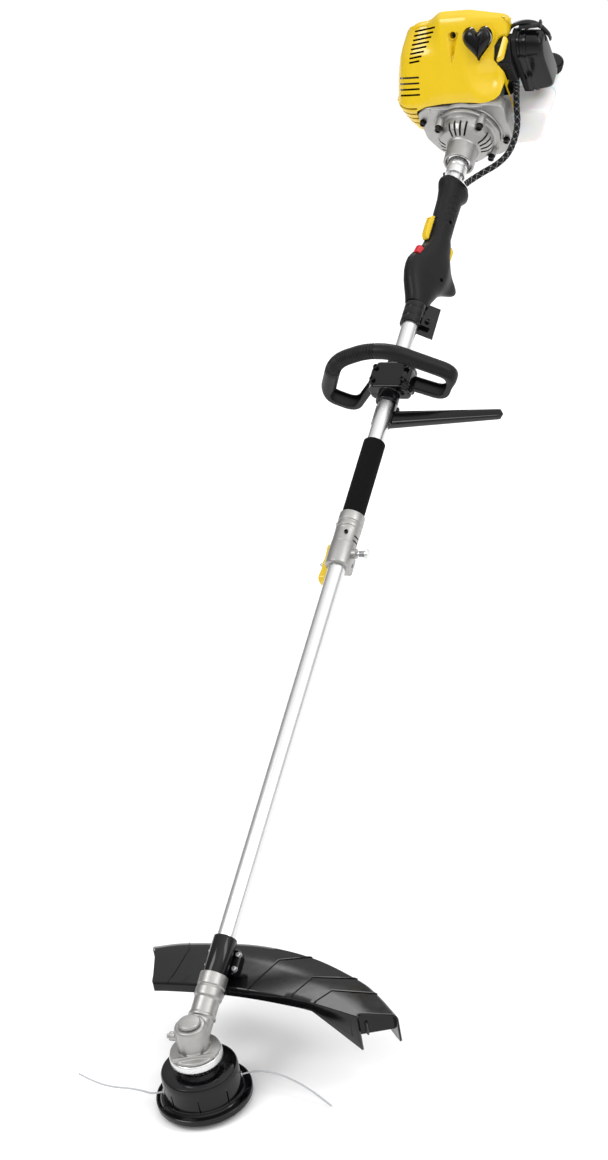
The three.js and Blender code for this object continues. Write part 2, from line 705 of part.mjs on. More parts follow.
function cylinder() {
  const profile = [[17.3, 46.3], [26, 46.3], [26, 52]];
  for (let y = 54; y < 100; y += 8) {
    profile.push([21, y], [27.5, y + 1], [27.5, y + 4], [21, y + 5]);
  }
  profile.push([16, 106], [5.1, 109], [5.1, 102], [17.3, 98], [17.3, 46.3]);
  return cylinderTurned(profile, 20);
}

function piston() {
  const crown = cylinderTurned([[0, 90], [17, 90], [17, 64], [14, 64], [14, 86], [0, 86]], 20);
  const wrist = pin(4, 30, [0, 73, -CYLINDER_S], [0, 0, 1], 12);
  return join(crown, wrist);
}

// The rod ends above the circle that the turning crank pin sweeps.
function connectingRod() {
  const sweptR = CRANK_THROW + CRANK_PIN_R + 0.6;
  const beam = shaftBox([-4, 4], [0, 68], [1675, 1681]);
  const small = pin(7.5, 6, [0, 73, -CYLINDER_S], [0, 0, 1], 18);
  const smallBore = pin(4 + GAP, 8, [0, 73, -CYLINDER_S], [0, 0, 1], 14);
  return cut(join(beam, small), smallBore, rod(sweptR, [1670, 1690], 24));
}

add(shaft, 'tube_socket', tubeSocket(), brightAluminium);
add(shaft, 'clutch_housing', clutchHousing(), castAluminium);
add(shaft, 'clutch_drum', clutchDrum(), steel);
add(shaft, 'clutch_shoes', clutchShoes(), steel);
add(shaft, 'fan_housing', fanHousing(), castAluminium);
add(shaft, 'flywheel', flywheel(), castAluminium);
add(shaft, 'crankshaft', crankshaft(), steel);
add(shaft, 'crankcase', crankcase(), castAluminium);
add(shaft, 'cylinder', cylinder(), castAluminium);
add(shaft, 'piston', piston(), castAluminium);
add(shaft, 'connecting_rod', connectingRod(), steel);

// ---------------------------------------------------------------- engine cover
const COVER_SPAN = [1600, 1710];
const COVER_WALL = 3;
const COVER_FRONT = [
  [-79, 2], [-110, 4], [-118, 24], [-118, 96], [-106, 124], [-84, 140], [-44, 146], [-34, 158],
  [24, 162], [84, 148], [90, 124], [86, 59.5], [-60, 59.5], [-79, 46],
];
const COVER_SIDE = [
  [1606, 0], [1601, 59], [1612, 72], [1686, 156], [1694, 164], [1710, 164], [1710, 0],
];

// Moves every edge of an outline inward by a distance; points run clockwise.
function inset(points, distance) {
  const count = points.length;
  const area = points.reduce((sum, [x, y], i) => {
    const [u, v] = points[(i + 1) % count];
    return sum + x * v - u * y;
  }, 0);
  const turn = Math.sign(area);
  return points.map(([x, y], i) => {
    const before = points[(i + count - 1) % count];
    const after = points[(i + 1) % count];
    const e0 = new THREE.Vector2(x - before[0], y - before[1]).normalize();
    const e1 = new THREE.Vector2(after[0] - x, after[1] - y).normalize();
    const n0 = new THREE.Vector2(-e0.y, e0.x).multiplyScalar(turn);
    const n1 = new THREE.Vector2(-e1.y, e1.x).multiplyScalar(turn);
    const middle = n0.clone().add(n1);
    const scale = distance / (0.5 * middle.lengthSq());
    return [x + middle.x * scale, y + middle.y * scale];
  });
}

const BOOT_SPOT = [43, 136, -1671];

function engineCover() {
  const outer = common(plate(COVER_FRONT, COVER_SPAN, 0), sidePlate(COVER_SIDE, [-125, 95]));
  const innerFront = plate(inset(COVER_FRONT, COVER_WALL), [1590, 1720]);
  const innerSide = sidePlate([[1609, -20], [1604, 59], [1615, 70], [1689, 153], [1697, 160],
    [1720, 160], [1720, -20]], [-125, 95]);
  const floor = shaftBox([-76, 83], [40, 64], [1607, 1720]);
  const sideFloor = shaftBox([-113, -70], [-10, 60], [1610, 1720]);
  const bootHole = pin(27, 40, BOOT_SPOT, [0, 0.656, 0.755], 16);
  const intakeRoom = shaftBox([80, 100], [50, 100], [1640, 1695]);
  return cut(outer, common(innerFront, innerSide), floor, sideFloor, bootHole, intakeRoom);
}

function sparkPlug() {
  return cylinderTurned([[0, 101], [4.8, 101], [4.8, 109.3], [7, 109.6], [7, 115], [4, 116],
    [4, 126], [0, 126]], 14);
}

// Heart-shaped cap over an elbow that reaches back to the plug.
function sparkPlugBoot() {
  const heart = new THREE.Shape();
  heart.moveTo(0, -24);
  heart.quadraticCurveTo(17, -10, 19, 8);
  heart.quadraticCurveTo(19, 22, 9, 22);
  heart.quadraticCurveTo(2, 22, 0, 13);
  heart.quadraticCurveTo(-2, 22, -9, 22);
  heart.quadraticCurveTo(-19, 22, -19, 8);
  heart.quadraticCurveTo(-17, -10, 0, -24);
  const cap = slab(heart, -6, 7, 2).rotateX(-0.72).translate(...BOOT_SPOT);
  const elbow = sweep(smoothCurve([
    [43, 133, -1673], [34, 126, -1684], [14, 125, -1682], [0, 125, -1680],
  ]), 4, 8, 8);
  const cup = cylinderTurned([[0, 118], [7, 118], [7, 131], [0, 131]], 14);
  return cut(join(cap, elbow, cup), cylinderTurned(rodProfile(4.3, 110, 126.3), 14));
}

function muffler() {
  const can = sidePlate([[1629, 26], [1629, 78], [1657, 106], [1698, 106], [1698, 26]], [-106, -40]);
  const port = shaftBox([-41, -28.2], [64, 84], [1668, 1688]);
  const outlet = pin(6, 40, [-80, 30, -1692], [0, 1, 0], 12);
  return cut(join(can, port), outlet);
}

// ---------------------------------------------------------------- starter
function starterHousing() {
  const points = [[-70, -36], [-77, 10], [-58, 60], [-20, 76], [34, 76], [48, 52], [48, -36]];
  const shell = plate(points, [1710.4, 1754], 6);
  const room = rod(34, [1700, 1742], 32);
  const ropeHole = pin(3, 60, [20, 60, -1733], [0, 1, 0], 10);
  const boss = rod(5, [1733, 1750], 16);
  return join(cut(shell, room, ropeHole), boss);
}

function starterPulley() {
  return turned([[5.3, 1727], [32.5, 1727], [32.5, 1729], [29, 1730.5], [29, 1735.5], [32.5, 1737],
    [32.5, 1739], [5.3, 1739], [5.3, 1727]], 28);
}

function starterGrip() {
  const bar = sidePlate([[-9, 0], [9, 0], [9, 12], [5, 18], [-5, 18], [-9, 12]], [-22, 22], 1.5);
  const neck = pin(6, 6, [0, -1, 0], [0, 1, 0], 14);
  return join(bar, neck).translate(20, 80.4, -1733);
}

// ---------------------------------------------------------------- carburettor and air filter

function carburettor() {
  const body = shaftBox([52, 90.2], [62, 94], [1658, 1690]);
  const spacer = shaftBox([27.9, 53], [66, 88], [1666, 1690]);
  const bowl = pin(11, 8, [68, 60, -1674], [0, 1, 0], 14);
  const throat = pin(8, 80, [62, 78, -1676], [1, 0, 0], 14);
  return cut(join(body, spacer, bowl), throat);
}

function airFilterBase() {
  const back = sidePlate([[1660, 20], [1668, 12], [1702, 12], [1710, 22], [1710, 122], [1704, 128],
    [1676, 128], [1660, 104]], [90.6, 99], 1);
  return cut(back, pin(8, 40, [94, 78, -1676], [1, 0, 0], 14));
}

function airFilterCover() {
  const outer = sidePlate([[1661, 21], [1669, 13], [1702, 13], [1709, 22], [1709, 120],
    [1703, 126], [1677, 126], [1661, 103]], [99.3, 141], 6);
  const inner = sidePlate([[1664, 24], [1671, 16], [1700, 16], [1706, 24], [1706, 118],
    [1701, 123], [1678, 123], [1664, 101]], [80, 138]);
  return cut(outer, inner);
}

function chokeLever() {
  const arm = shaftBox([104, 140], [128.4, 131.4], [1694, 1702]);
  const hub = pin(7, 5, [107, 130.9, -1698], [0, 1, 0], 16);
  const tab = shaftBox([137, 141], [128.4, 136], [1691, 1705]);
  return join(arm, hub, tab);
}

// ---------------------------------------------------------------- fuel tank
const TANK_OUTLINE = [
  [-70, -50], [-72, -68], [-60, -76], [20, -80], [92, -75], [104, -66], [128, -16], [125, -5],
  [112, 1], [68, 1], [57, -6], [50, -43], [40, -49],
];
const NECK_BASE = new THREE.Vector3(112, -8, -1731);
const NECK_AXIS = new THREE.Vector3(0.42, 0.907, 0);

function alongNeck(distance) {
  return NECK_BASE.clone().addScaledVector(NECK_AXIS, distance).toArray();
}

function fuelTank() {
  const shell = plate(TANK_OUTLINE, TANK, 3);
  const room = plate(inset(TANK_OUTLINE, 4), [TANK[0] + 4, TANK[1] - 4]);
  const neck = pin(12, 22, alongNeck(11), NECK_AXIS.toArray(), 20);
  const mouth = pin(9, 50, alongNeck(10), NECK_AXIS.toArray(), 20);
  return cut(join(shell, neck), cut(room, neck), mouth);
}

function fuelCap() {
  const top = pin(18, 20, alongNeck(24), NECK_AXIS.toArray(), 24);
  const hollow = pin(12.4, 12, alongNeck(16.6), NECK_AXIS.toArray(), 20);
  return cut(top, hollow);
}

const conduitPoints = [
  [22, -2, -1484.6], [30, -1, -1492], [50, 4, -1503], [70, 4, -1520], [82, 1, -1545],
  [87, 2, -1575], [87, 8, -1605], [84, 22, -1630], [84, 36, -1646], [85, 46, -1655], [85, 57.5, -1662],
];

function controlConduit() {
  return sweep(smoothCurve(conduitPoints), 5, 32, 8);
}

add(shaft, 'engine_cover', engineCover(), yellow);
add(shaft, 'spark_plug', sparkPlug(), steel);
add(shaft, 'spark_plug_boot', sparkPlugBoot(), glossBlack);
add(shaft, 'muffler', muffler(), steel);
add(shaft, 'starter_housing', starterHousing(), matteBlack);
add(shaft, 'starter_pulley', starterPulley(), matteBlack);
add(shaft, 'starter_grip', starterGrip(), rubber);
add(shaft, 'carburettor', carburettor(), castAluminium);
add(shaft, 'air_filter_base', airFilterBase(), matteBlack);
add(shaft, 'air_filter_cover', airFilterCover(), glossBlack);
add(shaft, 'choke_lever', chokeLever(), matteBlack);
add(shaft, 'fuel_tank', fuelTank(), tankWhite);
add(shaft, 'fuel_cap', fuelCap(), matteBlack);
add(shaft, 'control_conduit', controlConduit(), rubber);

export default trimmer;
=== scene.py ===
# A split-shaft petrol string trimmer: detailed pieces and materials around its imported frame.
import json
import math

import bmesh
import bpy
from mathutils import Matrix, Vector


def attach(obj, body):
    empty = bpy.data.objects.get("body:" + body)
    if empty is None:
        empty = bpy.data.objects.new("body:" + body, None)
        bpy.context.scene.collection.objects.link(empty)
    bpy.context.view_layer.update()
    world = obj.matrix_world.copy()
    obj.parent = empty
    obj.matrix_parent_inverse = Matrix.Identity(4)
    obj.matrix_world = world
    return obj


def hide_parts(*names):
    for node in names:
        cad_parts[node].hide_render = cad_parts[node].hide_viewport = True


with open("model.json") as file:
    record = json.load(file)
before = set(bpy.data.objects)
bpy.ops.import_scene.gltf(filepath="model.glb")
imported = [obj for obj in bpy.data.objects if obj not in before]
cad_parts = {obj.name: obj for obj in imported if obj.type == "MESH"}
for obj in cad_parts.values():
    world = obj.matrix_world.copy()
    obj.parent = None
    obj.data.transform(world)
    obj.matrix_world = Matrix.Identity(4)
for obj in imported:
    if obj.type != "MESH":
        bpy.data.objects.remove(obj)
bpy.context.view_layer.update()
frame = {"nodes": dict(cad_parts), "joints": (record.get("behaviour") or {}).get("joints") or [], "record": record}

# ------------------------------------------------------------------ places
# Local lengths are in millimetres. The shaft frame is (a, v, s): a to the operator's left,
# v the engine's up, and s along the shaft from the spindle.
MM = 0.001
joints = {joint["name"]: joint for joint in frame["joints"]}
LEFT = Vector((1, 0, 0))
ENGINE_UP = Vector(joints["starter_pull"]["axis"])
UP_SHAFT = -Vector(joints["attachment_slide"]["axis"])
SPINDLE = Vector(joints["head_spin"]["pos_m"])
TRIGGER_AXIS = -Vector(joints["trigger_squeeze"]["axis"])
HANDLE_UP = UP_SHAFT.cross(TRIGGER_AXIS).normalized()
if HANDLE_UP.dot(ENGINE_UP) < 0:
    HANDLE_UP = -HANDLE_UP
HANDLE_ROLL = TRIGGER_AXIS.angle(LEFT)
TUBE_BORE = 13.3     # radius of every bore around the 26 mm shaft tube


def on_shaft(a, v, s):
    return SPINDLE + MM * (a * LEFT + v * ENGINE_UP + s * UP_SHAFT)


def on_handle(x, y, s):
    return SPINDLE + MM * (x * TRIGGER_AXIS + y * HANDLE_UP + s * UP_SHAFT)


def in_world(x, y, z):
    return MM * Vector((x, y, z))


def from_above(a, s, v):
    return on_shaft(a, v, s)


def from_left(v, s, a):
    return on_shaft(a, v, s)


def on_side(s, v, a):
    return on_shaft(a, v, s)


def grip_side(s, y, x):
    return on_handle(x, y, s)


def squared(guide, along):
    """The direction nearest to guide at right angles to along."""
    return (guide - along * guide.dot(along)).normalized()


def heading(path, i):
    """The direction of a path at one of its points."""
    return (path[min(i + 1, len(path) - 1)] - path[max(i - 1, 0)]).normalized()


def across(direction, centre):
    """A place function for shapes built about an axis: its third number runs along direction."""
    along = Vector(direction).normalized()
    one = squared(LEFT if abs(along.dot(LEFT)) < 0.9 else ENGINE_UP, along)
    two = along.cross(one)
    return lambda x, y, z: centre + MM * (x * one + y * two + z * along)


def shaft_span(node):
    """Lowest and highest (a, v, s) of a CAD node, in millimetres."""
    spots = []
    for vertex in frame["nodes"][node].data.vertices:
        offset = (vertex.co - SPINDLE) / MM
        spots.append((offset.dot(LEFT), offset.dot(ENGINE_UP), offset.dot(UP_SHAFT)))
    return [min(axis) for axis in zip(*spots)], [max(axis) for axis in zip(*spots)]


# ------------------------------------------------------------------ camera, light, floor
def look_from(name, data, position, target, up=Vector((0, 0, 1))):
    thing = bpy.data.objects.new(name, data)
    bpy.context.scene.collection.objects.link(thing)
    back = (Vector(position) - Vector(target)).normalized()
    right = up.cross(back).normalized()
    upward = back.cross(right)
    turn = Matrix((right, upward, back)).transposed().to_4x4()
    thing.matrix_world = Matrix.Translation(position) @ turn
    return thing


# Solved from the outlines of the head, the tubes and the engine.
CAMERA_SPOT = Vector((1.270153, -1.855075, 1.764668))
CAMERA_FORWARD = Vector((-0.42626536, 0.79911338, -0.42392882))
CAMERA_UP = Vector((-0.04088804, 0.45113821, 0.89151696))
FOCAL_LENGTH = 65.18


def make_camera():
    lens = bpy.data.cameras.new("camera")
    lens.sensor_fit = "VERTICAL"
    lens.sensor_height = 36
    lens.lens = FOCAL_LENGTH
    lens.clip_end = 100
    bpy.context.scene.camera = look_from("camera", lens, CAMERA_SPOT, CAMERA_SPOT + CAMERA_FORWARD,
            CAMERA_UP)


def make_studio():
    world = bpy.data.worlds.new("studio")
    bpy.context.scene.world = world
    world.use_nodes = True
    tree = world.node_tree
    background = tree.nodes["Background"]
    background.inputs["Color"].default_value = (1, 1, 1, 1)
    facing = link_node(tree, "ShaderNodeSeparateXYZ", [("Vector",
            tree.nodes.new("ShaderNodeTexCoord").outputs["Generated"])])
    sky = link_node(tree, "ShaderNodeMapRange", [("Value", facing.outputs["Z"]), ("From Min", 0.0),
            ("From Max", 0.8), ("To Min", 0.34), ("To Max", 1.5)])
    sideways = link_node(tree, "ShaderNodeMapRange", [("Value", facing.outputs["X"]), ("From Min", -0.8),
            ("From Max", 0.5), ("To Min", 0.5), ("To Max", 1.15)])
    strength = link_node(tree, "ShaderNodeMath", [(0, sky.outputs["Result"]),
            (1, sideways.outputs["Result"])], operation="MULTIPLY")
    tree.links.new(strength.outputs[0], background.inputs["Strength"])
    aim = on_shaft(0, 0, 1000)
    for name, position, size, power in [
            ("key_light", (-1.6, -1.2, 3.2), (1.4, 1.4), 40),
            ("side_light", (2.6, 0.4, 2.4), (0.7, 2.0), 22),
            ("back_light", (-0.8, 3.2, 2.6), (1.8, 0.8), 22)]:
        lamp = bpy.data.lights.new(name, "AREA")
        lamp.shape = "RECTANGLE"
        lamp.size, lamp.size_y = size
        lamp.energy = power
        look_from(name, lamp, position, aim)
    floor = bpy.data.objects.new("floor", bpy.data.meshes.new("floor"))
    corners = [(x, y, 0) for x, y in rect(-40, 40, -40, 40)]
    floor.data.from_pydata(corners, [], [(0, 1, 2, 3)])
    floor.location.z = -0.0005
    bpy.context.scene.collection.objects.link(floor)
    floor.data.materials.append(surface("floor_white", (0.93, 0.93, 0.93), 0.9, mottle=0.01))
    bpy.context.scene.view_settings.view_transform = "Standard"


# ------------------------------------------------------------------ materials
def link_node(tree, kind, links=(), **values):
    """Adds a node, sets its plain values and feeds its inputs from other nodes' outputs."""
    made = tree.nodes.new(kind)
    for name, value in values.items():
        setattr(made, name, value)
    for slot, source in links:
        if isinstance(source, bpy.types.NodeSocket):
            tree.links.new(source, made.inputs[slot])
        else:
            made.inputs[slot].default_value = source
    return made


def spots_of(tree, stretch=None):
    """Object coordinates, squeezed across the shaft where a grain runs along it."""
    coordinates = tree.nodes.new("ShaderNodeTexCoord").outputs["Object"]
    if stretch is None:
        return coordinates
    rise = math.asin(UP_SHAFT.z)
    turned = link_node(tree, "ShaderNodeVectorRotate", [("Vector", coordinates), ("Angle", -rise)],
            rotation_type="X_AXIS")
    return link_node(tree, "ShaderNodeVectorMath", [(0, turned.outputs[0]), (1, stretch)],
            operation="MULTIPLY").outputs[0]


def noise_node(tree, spots, size, detail=3.0):
    return link_node(tree, "ShaderNodeTexNoise", [("Vector", spots), ("Scale", 1 / size),
            ("Detail", detail)]).outputs["Fac"]


def surface(name, colour, roughness, metallic=0.0, mottle=0.12, patch=0.03, grain=0.0004,
            depth=0.0, polish=0.06, stretch=None, coat=0.0, pores=None, settings=()):
    """A procedural finish: mottled colour, uneven polish, and fine grain as bump."""
    material = bpy.data.materials.new(name)
    material.use_nodes = True
    tree = material.node_tree
    shader = tree.nodes["Principled BSDF"]
    spots = spots_of(tree, stretch)
    cloudy = noise_node(tree, spots, patch)
    dark = [channel * (1 - mottle) for channel in colour] + [1]
    light = [min(1, channel * (1 + mottle)) for channel in colour] + [1]
    tint = link_node(tree, "ShaderNodeMix", [(0, cloudy), (6, dark), (7, light)], data_type="RGBA")
    tree.links.new(tint.outputs[2], shader.inputs["Base Color"])
    uneven = noise_node(tree, spots, patch / 3)
    rough = link_node(tree, "ShaderNodeMapRange", [("Value", uneven),
            ("To Min", max(0.03, roughness - polish)), ("To Max", roughness + polish)])
    tree.links.new(rough.outputs["Result"], shader.inputs["Roughness"])
    if depth:
        if pores:
            height = link_node(tree, "ShaderNodeTexVoronoi", [("Vector", spots),
                    ("Scale", 1 / pores)]).outputs["Distance"]
        else:
            height = noise_node(tree, spots, grain)
        bump = link_node(tree, "ShaderNodeBump", [("Height", height), ("Distance", depth),
                ("Strength", 0.6)])
        tree.links.new(bump.outputs["Normal"], shader.inputs["Normal"])
    shader.inputs["Metallic"].default_value = metallic
    shader.inputs["Coat Weight"].default_value = coat
    shader.inputs["Coat Roughness"].default_value = 0.05
    for slot, value in settings:
        shader.inputs[slot].default_value = value
    return material


def rect(x0, x1, y0, y1):
    """A rectangular outline."""
    return [(x0, y0), (x1, y0), (x1, y1), (x0, y1)]


make_camera()
make_studio()

ALONG_SHAFT = (1.0, 0.02, 1.0)
finishes = {"matte_black": surface("moulded_black", (0.006, 0.006, 0.0065), 0.4, grain=0.0007,
        depth=0.00006, settings=[("Specular IOR Level", 0.2)]),
        "gloss_black": surface("gloss_black_plastic", (0.0025, 0.0025, 0.003), 0.14, mottle=0.2,
        polish=0.05, grain=0.004, depth=0.00002, settings=[("Specular IOR Level", 0.3)]),
        "cast_aluminium": surface("die_cast_aluminium", (0.37, 0.365, 0.355), 0.40, 0.95, patch=0.012,
        grain=0.0009, depth=0.00007, polish=0.1), "bright_aluminium": surface("drawn_aluminium",
        (0.70, 0.70, 0.70), 0.26, 0.97, mottle=0.03, patch=0.004, grain=0.0006, depth=0.000012,
        stretch=ALONG_SHAFT), "steel": surface("turned_steel", (0.42, 0.42, 0.43), 0.3, 1.0, patch=0.006,
        grain=0.0005, depth=0.00001), "yellow_plastic": surface("gloss_yellow_plastic",
        (0.70, 0.475, 0.003), 0.22, mottle=0.05, patch=0.05, grain=0.003, depth=0.00002, polish=0.04,
        coat=0.25), "red_plastic": surface("red_switch_plastic", (0.55, 0.02, 0.03), 0.35, depth=0.00002),
        "foam": surface("foam_rubber", (0.005, 0.005, 0.005), 0.95, mottle=0.4, patch=0.003, depth=0.0003,
        pores=0.0009, polish=0.03, settings=[("Specular IOR Level", 0.1)]),
        "tank_plastic": surface("milky_tank_plastic", (0.76, 0.77, 0.765), 0.33, mottle=0.02, patch=0.03,
        grain=0.003, depth=0.00003, settings=[("Subsurface Weight", 0.6), ("Subsurface Scale", 0.02)]),
        "nylon": surface("grey_nylon", (0.42, 0.43, 0.45), 0.4, mottle=0.1, patch=0.01),
        "dark_steel": surface("oiled_steel", (0.06, 0.058, 0.055), 0.5, 0.6, patch=0.006),
        "rubber": surface("black_rubber", (0.006, 0.006, 0.006), 0.62, grain=0.0006, depth=0.00005,
        settings=[("Specular IOR Level", 0.15)])}


# ------------------------------------------------------------------ mesh building
def skin(bm, rows, around=True, caps=True, closed=False):
    """Joins rows of points by quads. around closes each row, closed joins the last to the first."""
    loops = [[bm.verts.new(point) for point in row] for row in rows]
    pairs = list(zip(loops, loops[1:]))
    if closed:
        pairs.append((loops[-1], loops[0]))
    for one, two in pairs:
        count = len(one)
        for i in range(count if around else count - 1):
            j = (i + 1) % count
            bm.faces.new((one[i], one[j], two[j], two[i]))
    if caps and not closed:
        bm.faces.new(loops[0][::-1])
        bm.faces.new(loops[-1])
    return bm


def circle(radius, sides):
    turns = [2 * math.pi * i / sides for i in range(sides)]
    return [(radius * math.cos(turn), radius * math.sin(turn)) for turn in turns]


def lathe(bm, profile, place, sides=96, closed=False):
    """Turns (radius, height) points about the third axis of a place function."""
    rows = [[place(x, y, height) for x, y in circle(max(radius, 1e-4), sides)] for radius,
            height in profile]
    return skin(bm, rows, caps=not closed, closed=closed)


def rod(bm, radius, low, high, place, sides=96):
    """A plain cylinder from one height to another."""
    return lathe(bm, [(0, low), (radius, low), (radius, high), (0, high)], place, sides)


def box(place, x, y, z):
    """The rows of a box in a place's frame, from its spans."""
    return [[place(one, two, three) for one, two in rect(*x, *y)] for three in z]


def soften(profile, radius, steps=4):
    """Rounds the inner corners of an open profile with arcs of about one radius."""
    rounded = [profile[0]]
    for before, corner, after in zip(profile, profile[1:], profile[2:]):
        rounded += corner_arc(before, corner, after, radius, steps)
    return rounded + [profile[-1]]


def corner_arc(before, corner, after, radius, steps):
    spot = Vector(corner)
    back = Vector(before) - spot
    ahead = Vector(after) - spot
    reach = min(radius, 0.45 * back.length, 0.45 * ahead.length)
    start = spot + back.normalized() * reach
    end = spot + ahead.normalized() * reach
    points = []
    for i in range(steps + 1):
        t = i / steps
        points.append(tuple((1 - t) ** 2 * start + 2 * t * (1 - t) * spot + t * t * end))
    return points


def round_outline(points, radius, steps=6):
    """Rounds every corner of a closed outline. radius is a number, or one for each corner."""
    count = len(points)
    radii = radius if hasattr(radius, "__len__") else [radius] * count
    rounded = []
    for i, corner in enumerate(points):
        rounded += corner_arc(points[i - 1], corner, points[(i + 1) % count], radii[i], steps)
    return rounded


def inset(points, distance):
    """Moves a closed outline's edges inward."""
    count = len(points)
    area = sum(points[i][0] * points[(i + 1) % count][1] - points[(i + 1) % count][0] * points[i][1]
            for i in range(count))
    turn = math.copysign(1, area)
    moved = []
    for i, spot in enumerate(points):
        back = (Vector(spot) - Vector(points[i - 1])).normalized()
        ahead = (Vector(points[(i + 1) % count]) - Vector(spot)).normalized()
        normal = turn * Vector((-(back.y + ahead.y), back.x + ahead.x))
        stretch = distance * 2 / max(normal.length_squared, 0.5)
        moved.append((spot[0] + normal.x * stretch, spot[1] + normal.y * stretch))
    return moved


def stack(bm, outline, layers, place, caps=True):
    """A solid of one outline at several heights; layers are (height, inset)."""
    return skin(bm, [[place(x, y, height) for x, y in inset(outline, distance)] for height,
            distance in layers], caps=caps)


def rounded_stack(bm, outline, low, high, edge, place, steps=5):
    """A slab with rounded rims at both ends."""
    layers = []
    for i in range(steps + 1):
        turn = math.pi / 2 * i / steps
        layers.append((low + edge * (1 - math.sin(turn)), edge * (1 - math.cos(turn))))
    layers = layers[::-1]
    layers += [(high + low - height, distance) for height, distance in layers[::-1]]
    return stack(bm, outline, layers, place)


def smooth_path(points, steps=8):
    """A Catmull-Rom curve through the points."""
    spots = [Vector(point) for point in points]
    padded = [2 * spots[0] - spots[1]] + spots + [2 * spots[-1] - spots[-2]]
    path = []
    for p0, p1, p2, p3 in zip(padded, padded[1:], padded[2:], padded[3:]):
        for i in range(steps):
            t = i / steps
            path.append(0.5 * (2 * p1 + (p2 - p0) * t + (2 * p0 - 5 * p1 + 4 * p2 - p3) * t * t
                    + (3 * p1 - p0 - 3 * p2 + p3) * t ** 3))
    return path + [spots[-1]]


def sweep(bm, path, section, up):
    """Sweeps section(i) points, (sideways, up) in metres, along a path of world points.
    up is a direction, or a function that gives one at a point."""
    rows = []
    for i, spot in enumerate(path):
        ahead = heading(path, i)
        raised = squared(up(spot) if callable(up) else up, ahead)
        side = ahead.cross(raised)
        rows.append([spot + x * side + y * raised for x, y in section(i)])
    return skin(bm, rows)


def object_of(name, bm):
    bmesh.ops.remove_doubles(bm, verts=bm.verts, dist=1e-6)
    bmesh.ops.recalc_face_normals(bm, faces=bm.faces)
    mesh = bpy.data.meshes.new(name)
    bm.to_mesh(mesh)
    bm.free()
    thing = bpy.data.objects.new(name, mesh)
    bpy.context.scene.collection.objects.link(thing)
    return thing


def settle(thing):
    """Applies the modifiers of an object."""
    bpy.context.view_layer.update()
    graph = bpy.context.evaluated_depsgraph_get()
    mesh = bpy.data.meshes.new_from_object(thing.evaluated_get(graph))
    thing.modifiers.clear()
    thing.data = mesh
    return thing


def islands(bm):
    """The separate shells of a tool mesh, as lists of faces."""
    unseen = set(bm.faces)
    shells = []
    for start in bm.faces:
        if start not in unseen:
            continue
        unseen.discard(start)
        shell = [start]
        for face in shell:
            for edge in face.edges:
                for other in edge.link_faces:
                    if other in unseen:
                        unseen.discard(other)
                        shell.append(other)
        shells.append(shell)
    return shells


def clear_batches(bm):
    """Splits a tool mesh into meshes whose shells don't touch each other."""
    batches = []
    for shell in islands(bm):
        spots = [vertex.co for face in shell for vertex in face.verts]
        low = [min(spot[k] for spot in spots) for k in range(3)]
        high = [max(spot[k] for spot in spots) for k in range(3)]
        for boxes, faces in batches:
            if all(any(low[k] > other_high[k] or high[k] < other_low[k] for k in range(3))
                   for other_low, other_high in boxes):
                boxes.append((low, high))
                faces.extend(shell)
                break
        else:
            batches.append(([(low, high)], list(shell)))
    meshes = []
    for faces in [batch[1] for batch in batches]:
        part = bmesh.new()
        made = {}
        for face in faces:
            for vertex in face.verts:
                if vertex not in made:
                    made[vertex] = part.verts.new(vertex.co)
            part.faces.new([made[vertex] for vertex in face.verts])
        meshes.append(part)
    bm.free()
    return meshes


def carve(thing, tool_mesh, operation="DIFFERENCE", own=False):
    """Cuts, joins or intersects an object with a tool mesh. own mends a target that cuts itself."""
    for part in clear_batches(tool_mesh):
        tool = object_of("tool", part)
        change = thing.modifiers.new("carve", "BOOLEAN")
        change.operation = operation
        change.object = tool
        change.solver = "EXACT"
        change.use_self = own
        settle(thing)
        bpy.data.objects.remove(tool)
    return thing


def thicken(thing, thickness, side=1):
    """Gives a sheet a wall, outside its faces where side is 1 and inside where it is -1."""
    wall = thing.modifiers.new("wall", "SOLIDIFY")
    wall.thickness = thickness * MM
    wall.offset = side
    return settle(thing)


def moulded_shell(name, rows, outward, thickness):
    """An open sheet of quads as the outer face of a thin wall."""
    shell = object_of(name, skin(bmesh.new(), rows, around=False, caps=False))
    if sum(polygon.normal.dot(outward) * polygon.area for polygon in shell.data.polygons) < 0:
        shell.data.flip_normals()
    return thicken(shell, thickness, -1)


def bevel(thing, width, segments=3, angle=32):
    change = thing.modifiers.new("bevel", "BEVEL")
    change.width = width * MM
    change.segments = segments
    change.limit_method = "ANGLE"
    change.angle_limit = math.radians(angle)
    change.use_clamp_overlap = True
    return settle(thing)


def calm(thing, factor, rounds):
    change = thing.modifiers.new("calm", "SMOOTH")
    change.factor = factor
    change.iterations = rounds
    return settle(thing)


def melt(thing, voxel, rounds=6):
    """Remeshes a casting so that its joined shapes flow into each other."""
    change = thing.modifiers.new("melt", "REMESH")
    change.mode = "VOXEL"
    change.voxel_size = voxel * MM
    return calm(thing, 0.5, rounds)


def dress(thing, finish, body, stands_for=(), angle=35):
    """Shades a piece, gives it its finish and body, and hides the CAD nodes that it stands for."""
    for polygon in thing.data.polygons:
        polygon.use_smooth = True
    thing.data.set_sharp_from_angle(angle=math.radians(angle))
    thing.data.materials.clear()
    thing.data.materials.append(finishes[finish])
    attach(thing, body)
    if stands_for:
        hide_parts(*stands_for)
    return thing


def piece(name, bm, finish, body, stands_for=(), angle=35):
    return dress(object_of(name, bm), finish, body, stands_for, angle)


def copy_of(node):
    """A copy of a CAD node's mesh with its flat faces whole again."""
    bm = bmesh.new()
    bm.from_mesh(frame["nodes"][node].data)
    bmesh.ops.remove_doubles(bm, verts=bm.verts, dist=1e-6)
    bmesh.ops.dissolve_limit(bm, angle_limit=math.radians(1), verts=bm.verts, edges=bm.edges)
    return object_of(node + "_shape", bm)


